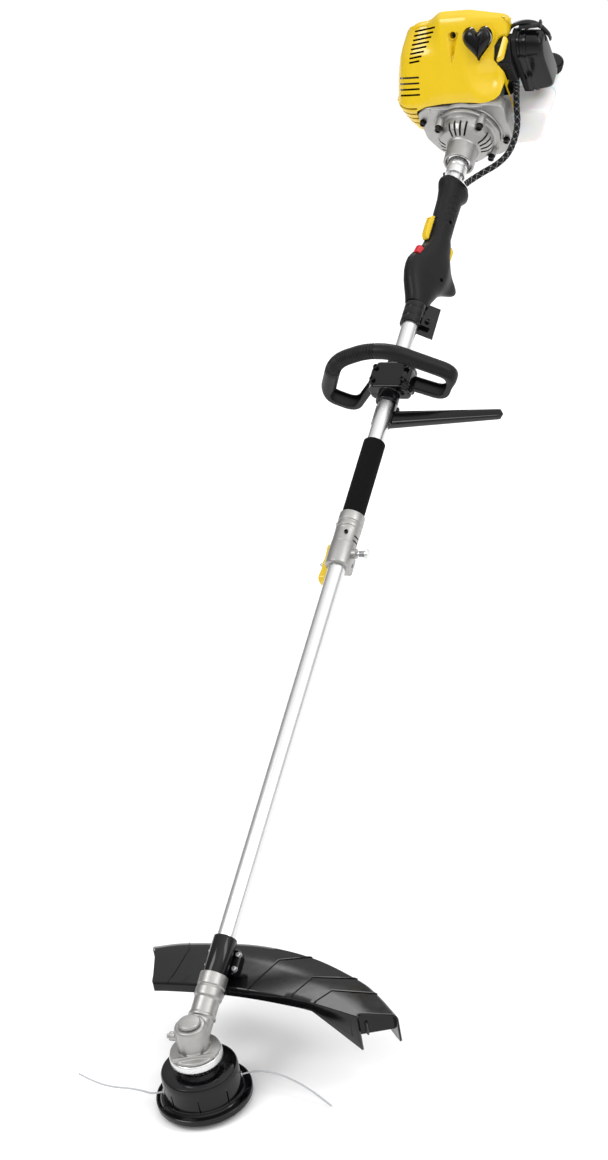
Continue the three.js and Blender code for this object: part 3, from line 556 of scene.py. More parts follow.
def refine(node, finish, body, width=0.6, segments=2, angle=30):
    return dress(bevel(copy_of(node), width, segments, angle), finish, body, [node])


def lathe_piece(name, profile, place, finish, body, stands_for=(), sides=96, closed=False):
    return piece(name, lathe(bmesh.new(), profile, place, sides, closed), finish, body, stands_for)


def bolt(bm, place, head=4.0, height=4.2, washer=0.0):
    """A socket-head screw standing on a face, its axis along the place's third direction."""
    if washer:
        rod(bm, washer, 0, 0.9, place, 32)
    base = 1.0 if washer else 0.0
    top = base + height
    lathe(bm, [(0, base), (head, base), (head, top - 0.6), (head - 0.5, top), (head * 0.55, top),
            (head * 0.5, top - 1.8), (0, top - 1.8)], place, 24)
    return bm


# ------------------------------------------------------------------ trimmer lines
LINE_DIAMETER = 0.0024
line_routes = {"right": [(-44.9, -28.1, 26), (-51, -31.9, 26.4), (-60, -36, 28), (-72, -37.5, 31),
        (-90, -38.8, 32.5), (-111, -40, 32), (-130, -38.8, 32), (-150, -35.5, 33.5), (-170, -30.8, 36)],
        "left": [(44.9, 28.1, 26), (51, 31.9, 26.4), (62, 36.3, 27.6), (76.5, 37.6, 28.2), (95, 37.4, 27),
        (112.5, 36.2, 23), (130, 33.5, 18.2), (145.5, 29.3, 13.8), (160, 25.2, 8), (173, 21.2, 3)]}
HEAD_TURN = math.radians(32)
EYELET_WAY = Vector((math.cos(HEAD_TURN), math.sin(HEAD_TURN), 0))
EYELET_SPOT = Vector((0, 0, 0.026))


def curve_piece(name, path, radius, finish, body, resolution=4):
    data = bpy.data.curves.new(name, "CURVE")
    data.dimensions = "3D"
    data.bevel_depth = radius
    data.bevel_resolution = resolution
    data.use_fill_caps = True
    spline = data.splines.new("POLY")
    spline.points.add(len(path) - 1)
    for spot, point in zip(path, spline.points):
        point.co = (*spot, 1)
    spline.use_smooth = True
    thing = bpy.data.objects.new(name, data)
    bpy.context.scene.collection.objects.link(thing)
    data.materials.append(finishes[finish])
    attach(thing, body)
    return thing


def trimmer_lines():
    for side, route in line_routes.items():
        path = [MM * spot for spot in smooth_path(route)]
        line = curve_piece("cutting_line_" + side, path, LINE_DIAMETER / 2, "nylon", "cutting_head")
        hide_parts("trimmer_line_" + side)


trimmer_lines()


# ------------------------------------------------------------------ cutting head
def cutting_head():
    shell = object_of("head_housing", lathe(bmesh.new(), [(12, 56.3), (38, 56.3), (46.5, 55.6),
            (50, 54.2), (51.3, 51.5), (51.6, 44), (51.8, 20), (52.6, 16.4), (54.5, 14.4), (58, 14),
            (61, 15), (63, 15.6), (64.3, 14.8), (64.5, 13), (64.5, 8), (63.5, 6.6), (50, 8), (43.5, 12),
            (43.5, 50), (12, 50)], in_world, 128, closed=True))
    slots = bmesh.new()
    for i in range(8):
        turn = math.radians(45 * i - 68)
        facing = Vector((math.cos(turn), math.sin(turn), 0))
        aside = Vector((-facing.y, facing.x, 0))
        slot = round_outline(rect(-0.9, 0.9, 19, 37.5), 0.8, 3)
        stack(slots, slot, [(48.5, 0), (56, 0)],
                lambda x, z, out, facing=facing, aside=aside: MM * (out * facing + x * aside
                + Vector((0, 0, z))))
    for side in (-1, 1):
        rod(slots, 3.8, 40, 56, across(side * EYELET_WAY, EYELET_SPOT), 32)
    carve(shell, slots)
    bevel(shell, 0.5, 2, 40)
    dress(shell, "gloss_black", "cutting_head", ["spool_housing"])
    lathe_piece("head_knob", [(0, 0), (26, 0), (31, 1), (36, 3.6), (38, 7.5), (38, 12.5), (36.5, 13.6),
            (24, 14.5), (10.4, 14.5), (10.4, 19), (6.5, 19), (6.5, 28), (0, 28)], in_world, "gloss_black",
            "tap_knob", ["bump_knob"])
    for side, sign in (("left", 1), ("right", -1)):
        place = across(sign * EYELET_WAY, EYELET_SPOT)
        lathe_piece("line_guide_" + side, soften([(1.9, 44), (3.6, 44), (3.6, 50.8), (4.4, 51.4),
                (4.4, 52.4), (3.6, 53), (2.3, 52.8), (1.9, 52)], 0.4, 2), place, "steel", "cutting_head",
                ["eyelet_" + side], 40, closed=True)
    lathe_piece("gearbox_flange", soften([(4.3, 56.6), (24, 56.6), (25, 65), (34, 67.5), (35.2, 69),
            (35.2, 77.6), (34, 79), (27.5, 79), (25.5, 73.5), (4.3, 73)], 0.8, 3), in_world,
            "bright_aluminium", "cutting_head", ["drive_flange"], 96, closed=True)


# ------------------------------------------------------------------ gearbox and lower tube
def gearbox():
    bm = lathe(bmesh.new(), soften([(0, 83), (21.5, 83), (21.5, 117), (20, 121.5), (0, 122)], 3),
            in_world, 64)
    lathe(bm, soften([(0, 79.4), (33.5, 79.4), (33.5, 83.2), (23, 85.5), (0, 86)], 1.2), in_world, 96)
    lathe(bm, soften([(0, 4), (17, 4), (17, 35), (18.8, 36), (18.8, 39.5), (17.3, 40.5), (17.3, 61),
            (19.2, 64), (19.2, 75.5), (18, 76.2), (18, 78.4), (19.2, 79.2), (19.2, 96), (0, 96)], 0.4),
            on_shaft, 64)
    bar_turn = 0.42
    along = Vector((math.cos(bar_turn), math.sin(bar_turn), 0))
    front = Vector((math.sin(bar_turn), -math.cos(bar_turn), 0))
    bar = rect(-29, 29, -2, 2)
    base = Vector((0, 0, 0.082)) + 0.0225 * front
    lug_way = Vector((-0.95, -0.25, 0.15))
    lug_spot = Vector((-0.017, -0.006, 0.104))
    stack(bm, round_outline(bar, 1.2, 3), [(0, 0), (6.5, 0)], lambda x, y, z: base
            + MM * (x * along + y * front + z * Vector((0, 0, 1))))
    ear = rect(-28, -16, 74, 93)
    rounded_stack(bm, round_outline(ear, 4, 4), -9, 9, 1.5, from_left)
    lug = across(lug_way, lug_spot)
    lathe(bm, soften([(0, 0), (6.5, 0), (6, 8), (6, 12), (0, 12)], 1), lug, 32)
    body = melt(object_of("gearbox_casting", bm), 0.8, 4)
    groove = rod(bmesh.new(), 2.9, 8, 13, lug, 24)
    skin(groove, box(on_shaft, (-0.5, 0.5), (-40, -14), (70, 99)))
    carve(body, groove)
    dress(body, "cast_aluminium", "attachment", ["gearbox_housing"], 50)
    seam = bmesh.new()
    seam_front = Vector((-0.62, -0.78, 0)).normalized()
    stack(seam, round_outline(rect(-0.7, 0.7, 84.5, 119), 0.5, 3), [(20.6, 0), (21.9, 0), (22.1, 0.3)],
            lambda x, z, out: MM * (out * seam_front + x * seam_front.cross(Vector((0, 0, 1)))
            + z * Vector((0, 0, 1))))
    piece("gearbox_seam", seam, "cast_aluminium", "attachment")
    lathe_piece("gearbox_top_cap", soften([(0, 119), (10.6, 119), (10.6, 122.3), (15, 122.3), (15, 126),
            (13.6, 127.4), (0, 127.6)], 0.6, 3), in_world, "cast_aluminium", "attachment",
            ["gearbox_cap"], 64)
    screws = bolt(bmesh.new(), across(-LEFT, on_shaft(-9.2, -22, 83)), 4.2, 5, 5)
    bolt(screws, across(LEFT, on_shaft(9.2, -22, 83)), 3.8, 3.4, 4.8)
    piece("gearbox_clamp_screw", screws, "gloss_black", "attachment")
    filler = bolt(bmesh.new(), across(lug_way, lug_spot + 0.0125 * lug_way), 3.6, 2.6)
    piece("grease_screw", filler, "steel", "attachment")


def shaft_tube(name, node, body):
    low, high = shaft_span(node)
    radius = (high[0] - low[0]) / 2
    wall = 1.5
    lathe_piece(name, [(radius - wall, low[2]), (radius - 0.3, low[2]), (radius, low[2] + 0.3),
            (radius, high[2] - 0.3), (radius - 0.3, high[2]), (radius - wall, high[2])], on_shaft,
            "bright_aluminium", body, [node], 96, closed=True)


# ------------------------------------------------------------------ debris guard
GUARD_TOP = 122      # heights of the guard's roof and of its skirt's lower edge
GUARD_FLOOR = 86


def arc_at(x, centre_x, centre_y, radius):
    return (x, centre_y + math.sqrt(radius ** 2 - (x - centre_x) ** 2))


def guard_rails():
    outer = [arc_at(x, 9, -163, 350) for x in (-137, -88, 10, 100, 180, 218, 260)]
    band = [(-123, 139), (-76, 152), (-5, 160), (60, 152), (121, 126), (158, 105), (214, 68)]
    inner = [arc_at(x, 35, -617, 700) for x in (-92, -70, -15, 44, 107, 143, 212)]
    steps = 16
    return [smooth_path(rail, steps) for rail in (outer, band, inner)]


def guard_sections():
    sections = []
    for outer, band, inner in zip(*guard_rails()):
        outward = (outer - band).normalized()
        lip = GUARD_TOP - 14
        if inner.x > 140:
            lip -= 0.55 * (inner.x - 140)
        floor = GUARD_FLOOR - 10 * ease(outer.x, 200, 255)
        edge = outer - outward * 5
        path = [(*inner, lip), (*inner, GUARD_TOP - 3), (*(inner + outward * 1.2), GUARD_TOP - 0.8),
                (*(inner + outward * 3), GUARD_TOP)]
        path += [(*(inner.lerp(band, k / 4)), GUARD_TOP) for k in (1, 2, 3)]
        path += [(*band, GUARD_TOP), (*(band.lerp(edge, 0.5)), GUARD_TOP - 2.4), (*edge, GUARD_TOP - 5),
                (*(outer - outward * 1.5), GUARD_TOP - 7), (*outer, GUARD_TOP - 11), (*outer, floor)]
        sections.append([MM * Vector(point) for point in path])
    return sections


def guard():
    sections = guard_sections()
    shell = moulded_shell("guard_shell", sections, Vector((0, 0, 1)), 2.8)
    carve(shell, rod(bmesh.new(), 20.5, 50, 110, on_shaft, 48))
    ends = bmesh.new()
    end_from, end_to = sections[-1][0], sections[-1][-1]
    along = (end_to - end_from).normalized()
    side = Vector((along.x, along.y, 0)).normalized() * 0.006
    ahead = Vector((side.y, -side.x, 0)).normalized()
    for i in range(5):
        spot = end_from.lerp(end_to, (i + 0.5) / 5)
        flat = Vector((spot.x, spot.y, 0))
        points = [flat - side + ahead * 0.02, flat + side + ahead * 0.02, flat - ahead * 0.004]
        stack(ends, [(point.x / MM, point.y / MM) for point in points], [(60, 0), (108, 0)], in_world)
    carve(shell, ends)
    bevel(shell, 0.5, 2, 50)
    dress(shell, "gloss_black", "attachment", ["guard"], 24)
    ribs = bmesh.new()
    for index in (16, 48, 64, 80):
        sweep(ribs, sections[index][2:11], lambda i: [(-0.0011, -0.0004), (0.0011, -0.0004),
                (0.0008, 0.0011), (-0.0008, 0.0011)], Vector((0, 0, 1)))
    piece("guard_ribs", ribs, "gloss_black", "attachment")
    edge = sections[-4][1:]
    foot = [Vector((spot.x, spot.y, MM * (GUARD_FLOOR + rise))) for spot,
            rise in ((edge[-1], 4), (edge[0], 2))]
    inside = [spot - Vector((0, 0, 0.0022)) for spot in edge[1:-1]] + foot
    across_way = (inside[-1] - inside[-2]).cross(Vector((0, 0, 1))).normalized()
    piece("guard_rib_4", skin(bmesh.new(), [[spot + shift * across_way for spot in inside]
            for shift in (-0.001, 0.001)]), "gloss_black", "attachment")
    cutter = bmesh.new()
    blade_spot = MM * Vector((214, 72, 0))
    rounded_stack(cutter, round_outline([(-9, 90), (9, 89), (9, 108), (-9, 108)], 1, 2), -0.8, 0.8, 0.3,
            lambda x, z, out: blade_spot + MM * Vector((0.83 * x + 0.55 * out, -0.55 * x + 0.83 * out,
            z)))
    piece("line_cutter_blade", cutter, "dark_steel", "attachment", ["line_cutter"])
    bracket = lathe(bmesh.new(), soften(rect(13.2, 16.4, 96.4, 149), 0.6, 2), on_shaft, 64, closed=True)
    dress(bevel(object_of("guard_clamp", bracket), 0.4, 2, 50), "gloss_black", "attachment",
            ["guard_bracket"])
    saddle = bmesh.new()
    wing = [(-19, 104), (19, 104), (24, 112), (24, 132), (19, 140), (-19, 140), (-24, 132), (-24, 112)]
    rounded_stack(saddle, round_outline(wing, 3, 4), -27, -11, 2.5, from_above)
    dress(carve(object_of("guard_saddle", saddle), under_guard_top()), "gloss_black", "attachment")
    screws = bmesh.new()
    for a in (-20, 20):
        for s in (112, 132):
            bolt(screws, across(ENGINE_UP, on_shaft(a, -12, s)), 3.6, 3.6, 4.6)
    piece("guard_screws", screws, "steel", "attachment")


def under_guard_top():
    floor = rect(-80, 80, 40, 260)
    return stack(bmesh.new(), floor, [(0, 0), (GUARD_TOP + 0.3, 0)], in_world)


# ------------------------------------------------------------------ coupler
PIN_SPOT = (0, 763)        # (v, s) of the pull pin's axis
STUD_SPOT = (-23, 756)     # (v, s) of the wing knob's axis


def coupler():
    body = object_of("coupler_casting", lathe(bmesh.new(), soften([(0, 738), (18, 738), (19.5, 740.5),
            (19.5, 776), (19, 777), (19, 799), (19.5, 800.6), (18.2, 801.2), (18.2, 803.8), (19.5, 804.4),
            (19.5, 810.2), (18.2, 810.8), (18.2, 813.8), (19.5, 814.4), (19.5, 828), (19, 829), (0, 829)],
            0.3, 2), on_shaft, 96))
    ear = rect(-31, -12, 741, 772)
    carve(body, rounded_stack(bmesh.new(), round_outline(ear, [7, 1, 1, 7], 5), -11, 11, 1.2, from_left),
            "UNION")
    boss = across(LEFT, on_shaft(0, *PIN_SPOT))
    carve(body, lathe(bmesh.new(), soften([(0, 10), (8.5, 10), (7.4, 20), (7.4, 25), (0, 25)], 0.8), boss,
            48), "UNION")
    holes = rod(bmesh.new(), TUBE_BORE, 700, 850, on_shaft, 96)
    skin(holes, box(on_shaft, (-1, 1), (-45, -10), (700, 791)))
    for s in (781, 789):
        slot = rect(5, 30, s - 1.3, s + 1.3)
        stack(holes, slot, [(-3, 0), (9, 0)], from_above)
    carve(body, holes)
    bevel(body, 0.45, 2, 40)
    dress(body, "cast_aluminium", "root", ["coupler"], 40)
    screws = bolt(bmesh.new(), across(-LEFT, on_shaft(-19.0, -4, 816)), 3.8, 4.4)
    bolt(screws, across(ENGINE_UP, on_shaft(7, 17.8, 790)), 3.2, 2.8)
    piece("coupler_screws", screws, "gloss_black", "root")


def pull_pin():
    place = across(LEFT, on_shaft(0, *PIN_SPOT))
    lathe_piece("coupler_pin_knob", soften([(0, 15.6), (3, 15.6), (3, 28.2), (5.2, 28.2), (5.2, 30.2),
            (3, 30.2), (3, 37.6), (6.6, 38), (7.4, 39.4), (7.4, 43), (6.4, 44.2), (2.5, 44.8), (0, 44.8)],
            0.3, 2), place, "bright_aluminium", "coupler_pin", ["pull_pin"], 48)
    coils = []
    turns = 6
    for i in range(turns * 20 + 1):
        turn = 2 * math.pi * i / 20
        coils.append(place(4.4 * math.cos(turn), 4.4 * math.sin(turn), 30.8 + 6.4 * i / (turns * 20)))
    curve_piece("coupler_pin_spring", coils, 0.0005, "steel", "coupler_pin", 2)


def wing_knob():
    place = across(-LEFT, on_shaft(0, *STUD_SPOT))
    body = object_of("coupler_wing_knob", lathe(bmesh.new(), soften([(0, 13.8), (9.5, 13.8), (9.5, 20),
            (9, 33), (7, 34.5), (0, 34.5)], 1), place, 64))
    wing = [(-33, -6), (-28, -12), (-10, -9), (10, -9), (28, -12), (33, -6), (33, 6), (28, 12), (10, 9),
            (-10, 9), (-28, 12), (-33, 6)]
    carve(body, rounded_stack(bmesh.new(), round_outline(wing, 3.5, 5), 19.9, 33, 2.2,
            lambda s, v, a: on_shaft(-a, STUD_SPOT[0] + v, STUD_SPOT[1] + s)), "UNION")
    bevel(body, 0.5, 2, 40)
    dress(body, "yellow_plastic", "coupler_knob", ["wing_knob"], 40)
    lathe_piece("coupler_stud", soften([(0, -14), (3, -14), (3, 38), (2.4, 40), (0, 40.3)], 0.3, 2),
            place, "steel", "coupler_knob", sides=32)


# ------------------------------------------------------------------ grips on the tube
def foam_grip():
    low, high = shaft_span("foam_grip")
    radius = (high[0] - low[0]) / 2
    lathe_piece("foam_sleeve", soften([(13.2, low[2]), (radius, low[2]), (radius, high[2]),
            (13.2, high[2])], 3.2, 5), on_shaft, "foam", "root", ["foam_grip"], 96, closed=True)


LOOP_CORNERS = [(-20, 14), (-81, -60), (-124, -32), (-80, 52), (-20, 76), (22, 75), (107, 20), (78, -30),
        (20, 2)]
LOOP_RADII = [0, 15, 17, 30, 20, 20, 17, 15, 0]
LOOP_S = 1080      # the loop's place along the shaft
LOOP_STEP = 0.7
BAR_RADIUS = 12.4
RIB_PITCH = 4.3


def loop_path():
    points = [LOOP_CORNERS[0]]
    for i in range(1, len(LOOP_CORNERS) - 1):
        points += corner_arc(LOOP_CORNERS[i - 1], LOOP_CORNERS[i], LOOP_CORNERS[i + 1],
                LOOP_RADII[i] * 1.25, 10)
    points.append(LOOP_CORNERS[-1])
    return spaced([Vector(point) for point in points], LOOP_STEP)


def spaced(points, step):
    """Points at even spacing along a polyline."""
    kept = [points[0]]
    left = step
    for one, two in zip(points, points[1:]):
        length = (two - one).length
        while length > left:
            one = one.lerp(two, left / length)
            kept.append(one)
            length = (two - one).length
            left = step
        left -= length
    kept.append(points[-1])
    return kept


def ease(value, low, high):
    t = min(1, max(0, (value - low) / (high - low)))
    return t * t * (3 - 2 * t)


def loop_section(spot, distance):
    """Round where the hand goes, and an open channel below."""
    roundness = ease(spot.y, -30, -8) if spot.x < 0 else ease(spot.y, -4, 22)
    if abs(spot.x) < 78 and spot.y < 30:
        roundness = 0
    ribbed = ease(spot.y, 24, 34) * (1 - ease(spot.x, -6, -2))
    radius = BAR_RADIUS - 1.5 * ribbed * (0.5 + 0.5 * math.cos(2 * math.pi * distance / RIB_PITCH)) ** 2
    points = []
    for x, y in circle(1, 48):
        power = 0.25
        channel_x = 5 * math.copysign(abs(x) ** power, x)
        channel_y = 12 * math.copysign(abs(y) ** power, y)
        if x < 0 and abs(channel_y) < 9.2:
            channel_x = 1.0
        points.append((MM * (roundness * x * radius + (1 - roundness) * channel_x),
                MM * (roundness * y * radius + (1 - roundness) * channel_y)))
    return points


def front_handle():
    flat = loop_path()
    path = [on_shaft(spot.x, spot.y, LOOP_S) for spot in flat]
    bm = sweep(bmesh.new(), path, lambda i: loop_section(flat[i], LOOP_STEP * i), UP_SHAFT)
    bar = object_of("loop_bar", bm)
    carve(bar, rod(bmesh.new(), 18.3, 1000, 1150, on_shaft, 64))
    dress(bar, "matte_black", "front_handle", ["loop_handle"], 40)

    block = lathe(bmesh.new(), soften(rect(0, 17.5, 1037, 1126), 1), on_shaft, 64)
    sides = [(-33, -9), (-27, -15), (27, -15), (33, -9), (33, 9), (24, 20), (-24, 20), (-33, 9)]
    rounded_stack(block, round_outline(sides, 3, 4), 1056, 1104, 3, on_shaft)
    for a in (-26, 26):
        rounded_stack(block, round_outline(rect(a - 8, a + 8, -17, 17), 5, 4), 1066, 1094, 2, on_shaft)
    for s in (1040, 1114):
        rounded_stack(block, round_outline(rect(-9, 9, -25, -10), 3, 4), s - 9, s + 9, 2, on_shaft)
    body = melt(object_of("loop_clamp", block), 0.9, 3)
    hole = rod(bmesh.new(), TUBE_BORE, 1000, 1150, on_shaft, 64)
    skin(hole, box(on_shaft, (-40, -16), (-0.5, 0.5), (1050, 1110)))
    skin(hole, box(on_shaft, (16, 40), (-0.5, 0.5), (1050, 1110)))
    carve(body, hole)
    dress(body, "gloss_black", "front_handle", ["handle_bracket"], 40)
    screws = bmesh.new()
    for a in (-25, 25):
        for s in (1069, 1092):
            bolt(screws, across(ENGINE_UP, on_shaft(a, 19.2, s)), 4.2, 4.2, 5.4)
    for s in (1040, 1114):
        bolt(screws, across(LEFT, on_shaft(9, -19, s)), 3.8, 3.4, 4.8)
        bolt(screws, across(-LEFT, on_shaft(-9, -19, s)), 3.8, 3.4, 4.8)
    piece("loop_clamp_screws", screws, "gloss_black", "front_handle")
    barrier_bar()


def barrier_bar():
    rows = []
    stations = 40
    for i in range(stations + 1):
        t = i / stations
        a = 8 + 190 * t
        middle_s = 1012.2 + 0.8 * t
        middle_v = -8 + 17 * t
        half_s = 13 - 6 * t
        half_v = 8.5 - 3 * t
        tip = math.sqrt(max(0.0, 1 - max(0.0, (t - 0.965) / 0.035) ** 2))
        row = []
        for x, y in circle(1, 40):
            wide = math.copysign(abs(x) ** 0.45, x) * half_s * max(tip, 0.02)
            tall = math.copysign(abs(y) ** 0.45, y) * half_v * max(tip, 0.02)
            if y > 0.3 and abs(wide + 1.5) < 1.4:
                tall -= 0.9
            row.append(on_shaft(a, middle_v + tall, middle_s + wide))
        rows.append(row)
    bar = object_of("barrier_arm", skin(bmesh.new(), rows))
    carve(bar, rod(bmesh.new(), TUBE_BORE, 990, 1040, on_shaft, 64))
    dress(bar, "gloss_black", "front_handle", ["barrier_bar"], 35)
    turns = [math.radians(188 + 182 * i / 40) for i in range(41)]
    saddle = [(17.3 * math.cos(turn), 17.3 * math.sin(turn)) for turn in turns]
    saddle += [(13.3 * math.cos(turn), 13.3 * math.sin(turn)) for turn in turns[::-1]]
    piece("barrier_saddle", stack(bmesh.new(), saddle, [(999.5, 0.3), (1000, 0), (1036, 0),
            (1036.5, 0.3)], on_shaft), "gloss_black", "front_handle")


# ------------------------------------------------------------------ rear handle
HANDLE_TOP = [(1229.6, 18), (1238, 21), (1262, 34), (1278, 39), (1291, 40.5), (1303, 39.5), (1316, 34),
        (1330, 26), (1345, 18.5), (1362, 15), (1396, 14.3), (1445, 16), (1464, 18.5), (1474, 22.5),
        (1480, 23.8), (1483.8, 22)]
HANDLE_UNDER = [(1229.6, -18), (1245, -22), (1268, -32), (1280, -42), (1288, -54), (1295, -65),
        (1302, -69), (1309, -66), (1318, -56), (1328, -46), (1343, -35), (1366, -28.5), (1374, -24.5),
        (1410, -24), (1452, -25), (1460, -30), (1467, -34.5), (1476, -34), (1483.8, -29)]
HANDLE_WIDTH = [(1229.6, 15.8), (1250, 17.5), (1285, 19), (1315, 18.8), (1345, 17.5), (1380, 16.6),
        (1445, 16.6), (1462, 18), (1474, 19), (1483.8, 18)]


def level(table, s):
    """A value read smoothly from a table of (s, value)."""
    for (s0, v0), (s1, v1) in zip(table, table[1:]):
        if s <= s1:
            t = (s - s0) / (s1 - s0)
            return v0 + (v1 - v0) * t
    return table[-1][1]


def smooth_level(table, s):
    return sum(level(table, s + shift) for shift in (-3, -1.5, 0, 1.5, 3)) / 5


def grip_pattern(s, height):
    """Depth of the ovals and the frame line pressed into the grip's flanks."""
    depth = 0.0
    spacing = 12.6
    first = 1394
    index = round((s - first) / spacing)
    if 0 <= index <= 5:
        offset = math.hypot((s - first - index * spacing) / 5.6, (height + 3.5) / 8.6)
        depth += 0.75 * max(0, 1 - abs(offset - 1) / 0.13)
    edge = max(abs(s - 1427) / 44, abs(height + 3.5) / 11.6)
    return depth + 0.6 * max(0, 1 - abs(edge - 1) / 0.035)


def handle_row(s):
    top = smooth_level(HANDLE_TOP, s)
    under = smooth_level(HANDLE_UNDER, s)
    width = smooth_level(HANDLE_WIDTH, s)
    middle = -3.5
    row = []
    for x, y in circle(1, 128):
        side = math.copysign(abs(x) ** 0.72, x)
        rise = math.copysign(abs(y) ** 0.86, y)
        height = middle + rise * ((top - middle) if y > 0 else (middle - under))
        slim = 1 - 0.42 * ease(-height, 26, 52)
        depth = grip_pattern(s, height) if abs(x) > 0.5 else 0
        row.append(on_handle(side * (width * slim) - math.copysign(depth, x), height, s))
    return row


def rear_handle():
    count = 300
    rows = [handle_row(1229.8 + (1483.8 - 1229.8) * i / count) for i in range(count + 1)]
    shell = object_of("rear_handle_shell", skin(bmesh.new(), rows))
    tools = rod(bmesh.new(), TUBE_BORE, 1200, 1500, on_shaft, 64)
    skin(tools, box(on_handle, (-6.2, 6.2), (-70, -15), (1322, 1374.5)))
    skin(tools, box(on_handle, (-6.2, 6.2), (13.5, 50), (1349, 1400.5)))
    skin(tools, box(on_handle, (1.8, 12.2), (24, 50), (1307.5, 1331)))
    skin(tools, box(on_handle, (-0.35, 0.35), (30.5, 60), (1225, 1305)))
    rod(tools, 3.4, 12, 40, across(TRIGGER_AXIS, on_handle(0, -6, 1400)), 32)
    rod(tools, 3.4, 12, 40, across(TRIGGER_AXIS, on_handle(0, -20, 1290)), 32)
    carve(shell, tools)
    carve(shell, skin(bmesh.new(), box(on_handle, (-0.3, 0.3), (-80, 60), (1220, 1500))))
    dress(shell, "matte_black", "root", ["rear_handle_left", "rear_handle_right"], 42)
    screws = bmesh.new()
    for y, s in ((-6, 1400), (-20, 1290)):
        bolt(screws, across(TRIGGER_AXIS, on_handle(8, y, s)), 3, 3)
    piece("rear_handle_screws", screws, "steel", "root")
    trigger = rounded_stack(bmesh.new(), round_outline([(1371, -19), (1371, -33), (1366, -38.5),
            (1350, -38), (1336, -36.5), (1330, -33), (1334, -28), (1352, -19)], 3, 5), -5.5, 5.5, 1.8,
            grip_side)
    piece("trigger_lever", trigger, "yellow_plastic", "trigger", ["throttle_trigger"], 50)
    lockout = rounded_stack(bmesh.new(), round_outline([(1351, 17.8), (1351, 21.5), (1357, 26),
            (1380, 27), (1394, 25.5), (1398.5, 21), (1398.5, 17.8)], 2.6, 5), -5.5, 5.5, 1.6, grip_side)
    for i in range(7):
        s = 1360 + 5 * i
        rounded_stack(lockout, round_outline(rect(s - 0.8, s + 0.8, 24, 27.6), 0.5, 2), -4, 4, 0.3,
                grip_side)
    piece("lockout_pad", lockout, "yellow_plastic", "lockout", ["lockout_lever"], 50)
    switch = rounded_stack(bmesh.new(), round_outline(rect(2.6, 11.4, 1310, 1325), 2, 5), 25, 35, 1.6,
            lambda x, s, y: on_handle(x, y + 0.2 * (1325 - s), s))
    for i in range(4):
        s = 1312.5 + 3.2 * i
        rounded_stack(switch, round_outline(rect(3.6, 10.4, s, s + 1.4), 0.5, 2), 33, 36.2, 0.4,
                lambda x, along, y: on_handle(x, y + 0.2 * (1325 - along), along))
    piece("switch_slider", switch, "red_plastic", "switch", ["stop_switch"], 50)
    handle_clamp()


def handle_clamp():
    roll = HANDLE_ROLL + 0.5
    axis_x = math.cos(roll) * LEFT + math.sin(roll) * ENGINE_UP
    axis_y = math.cos(roll) * ENGINE_UP - math.sin(roll) * LEFT

    def turned(x, y, s):
        return SPINDLE + MM * (x * axis_x + y * axis_y + s * UP_SHAFT)

    body = object_of("handle_clamp_band", lathe(bmesh.new(), soften([(0, 1190), (17, 1190), (17, 1200),
            (16.3, 1200.6), (16.3, 1202.4), (17, 1203), (17, 1216), (16.3, 1216.6), (16.3, 1218),
            (17, 1218.6), (17, 1228.8), (0, 1228.8)], 0.5, 2), on_shaft, 96))
    ear = rect(-8.5, 8.5, -31, -13)
    carve(body, rounded_stack(bmesh.new(), round_outline(ear, 3, 4), 1193, 1213, 1.2, turned), "UNION")
    holes = rod(bmesh.new(), TUBE_BORE, 1180, 1240, on_shaft, 96)
    skin(holes, box(turned, (-0.9, 0.9), (-40, -12), (1180, 1240)))
    carve(body, holes)
    bevel(body, 0.4, 2, 45)
    dress(body, "gloss_black", "root", ["handle_clamp"], 40)
    screws = bolt(bmesh.new(), across(axis_x, turned(8.5, -23.5, 1203)), 4, 4, 5)
    bolt(screws, across(-axis_x, turned(-8.5, -23.5, 1203)), 4, 3, 5)
    piece("handle_clamp_screw", screws, "gloss_black", "root")


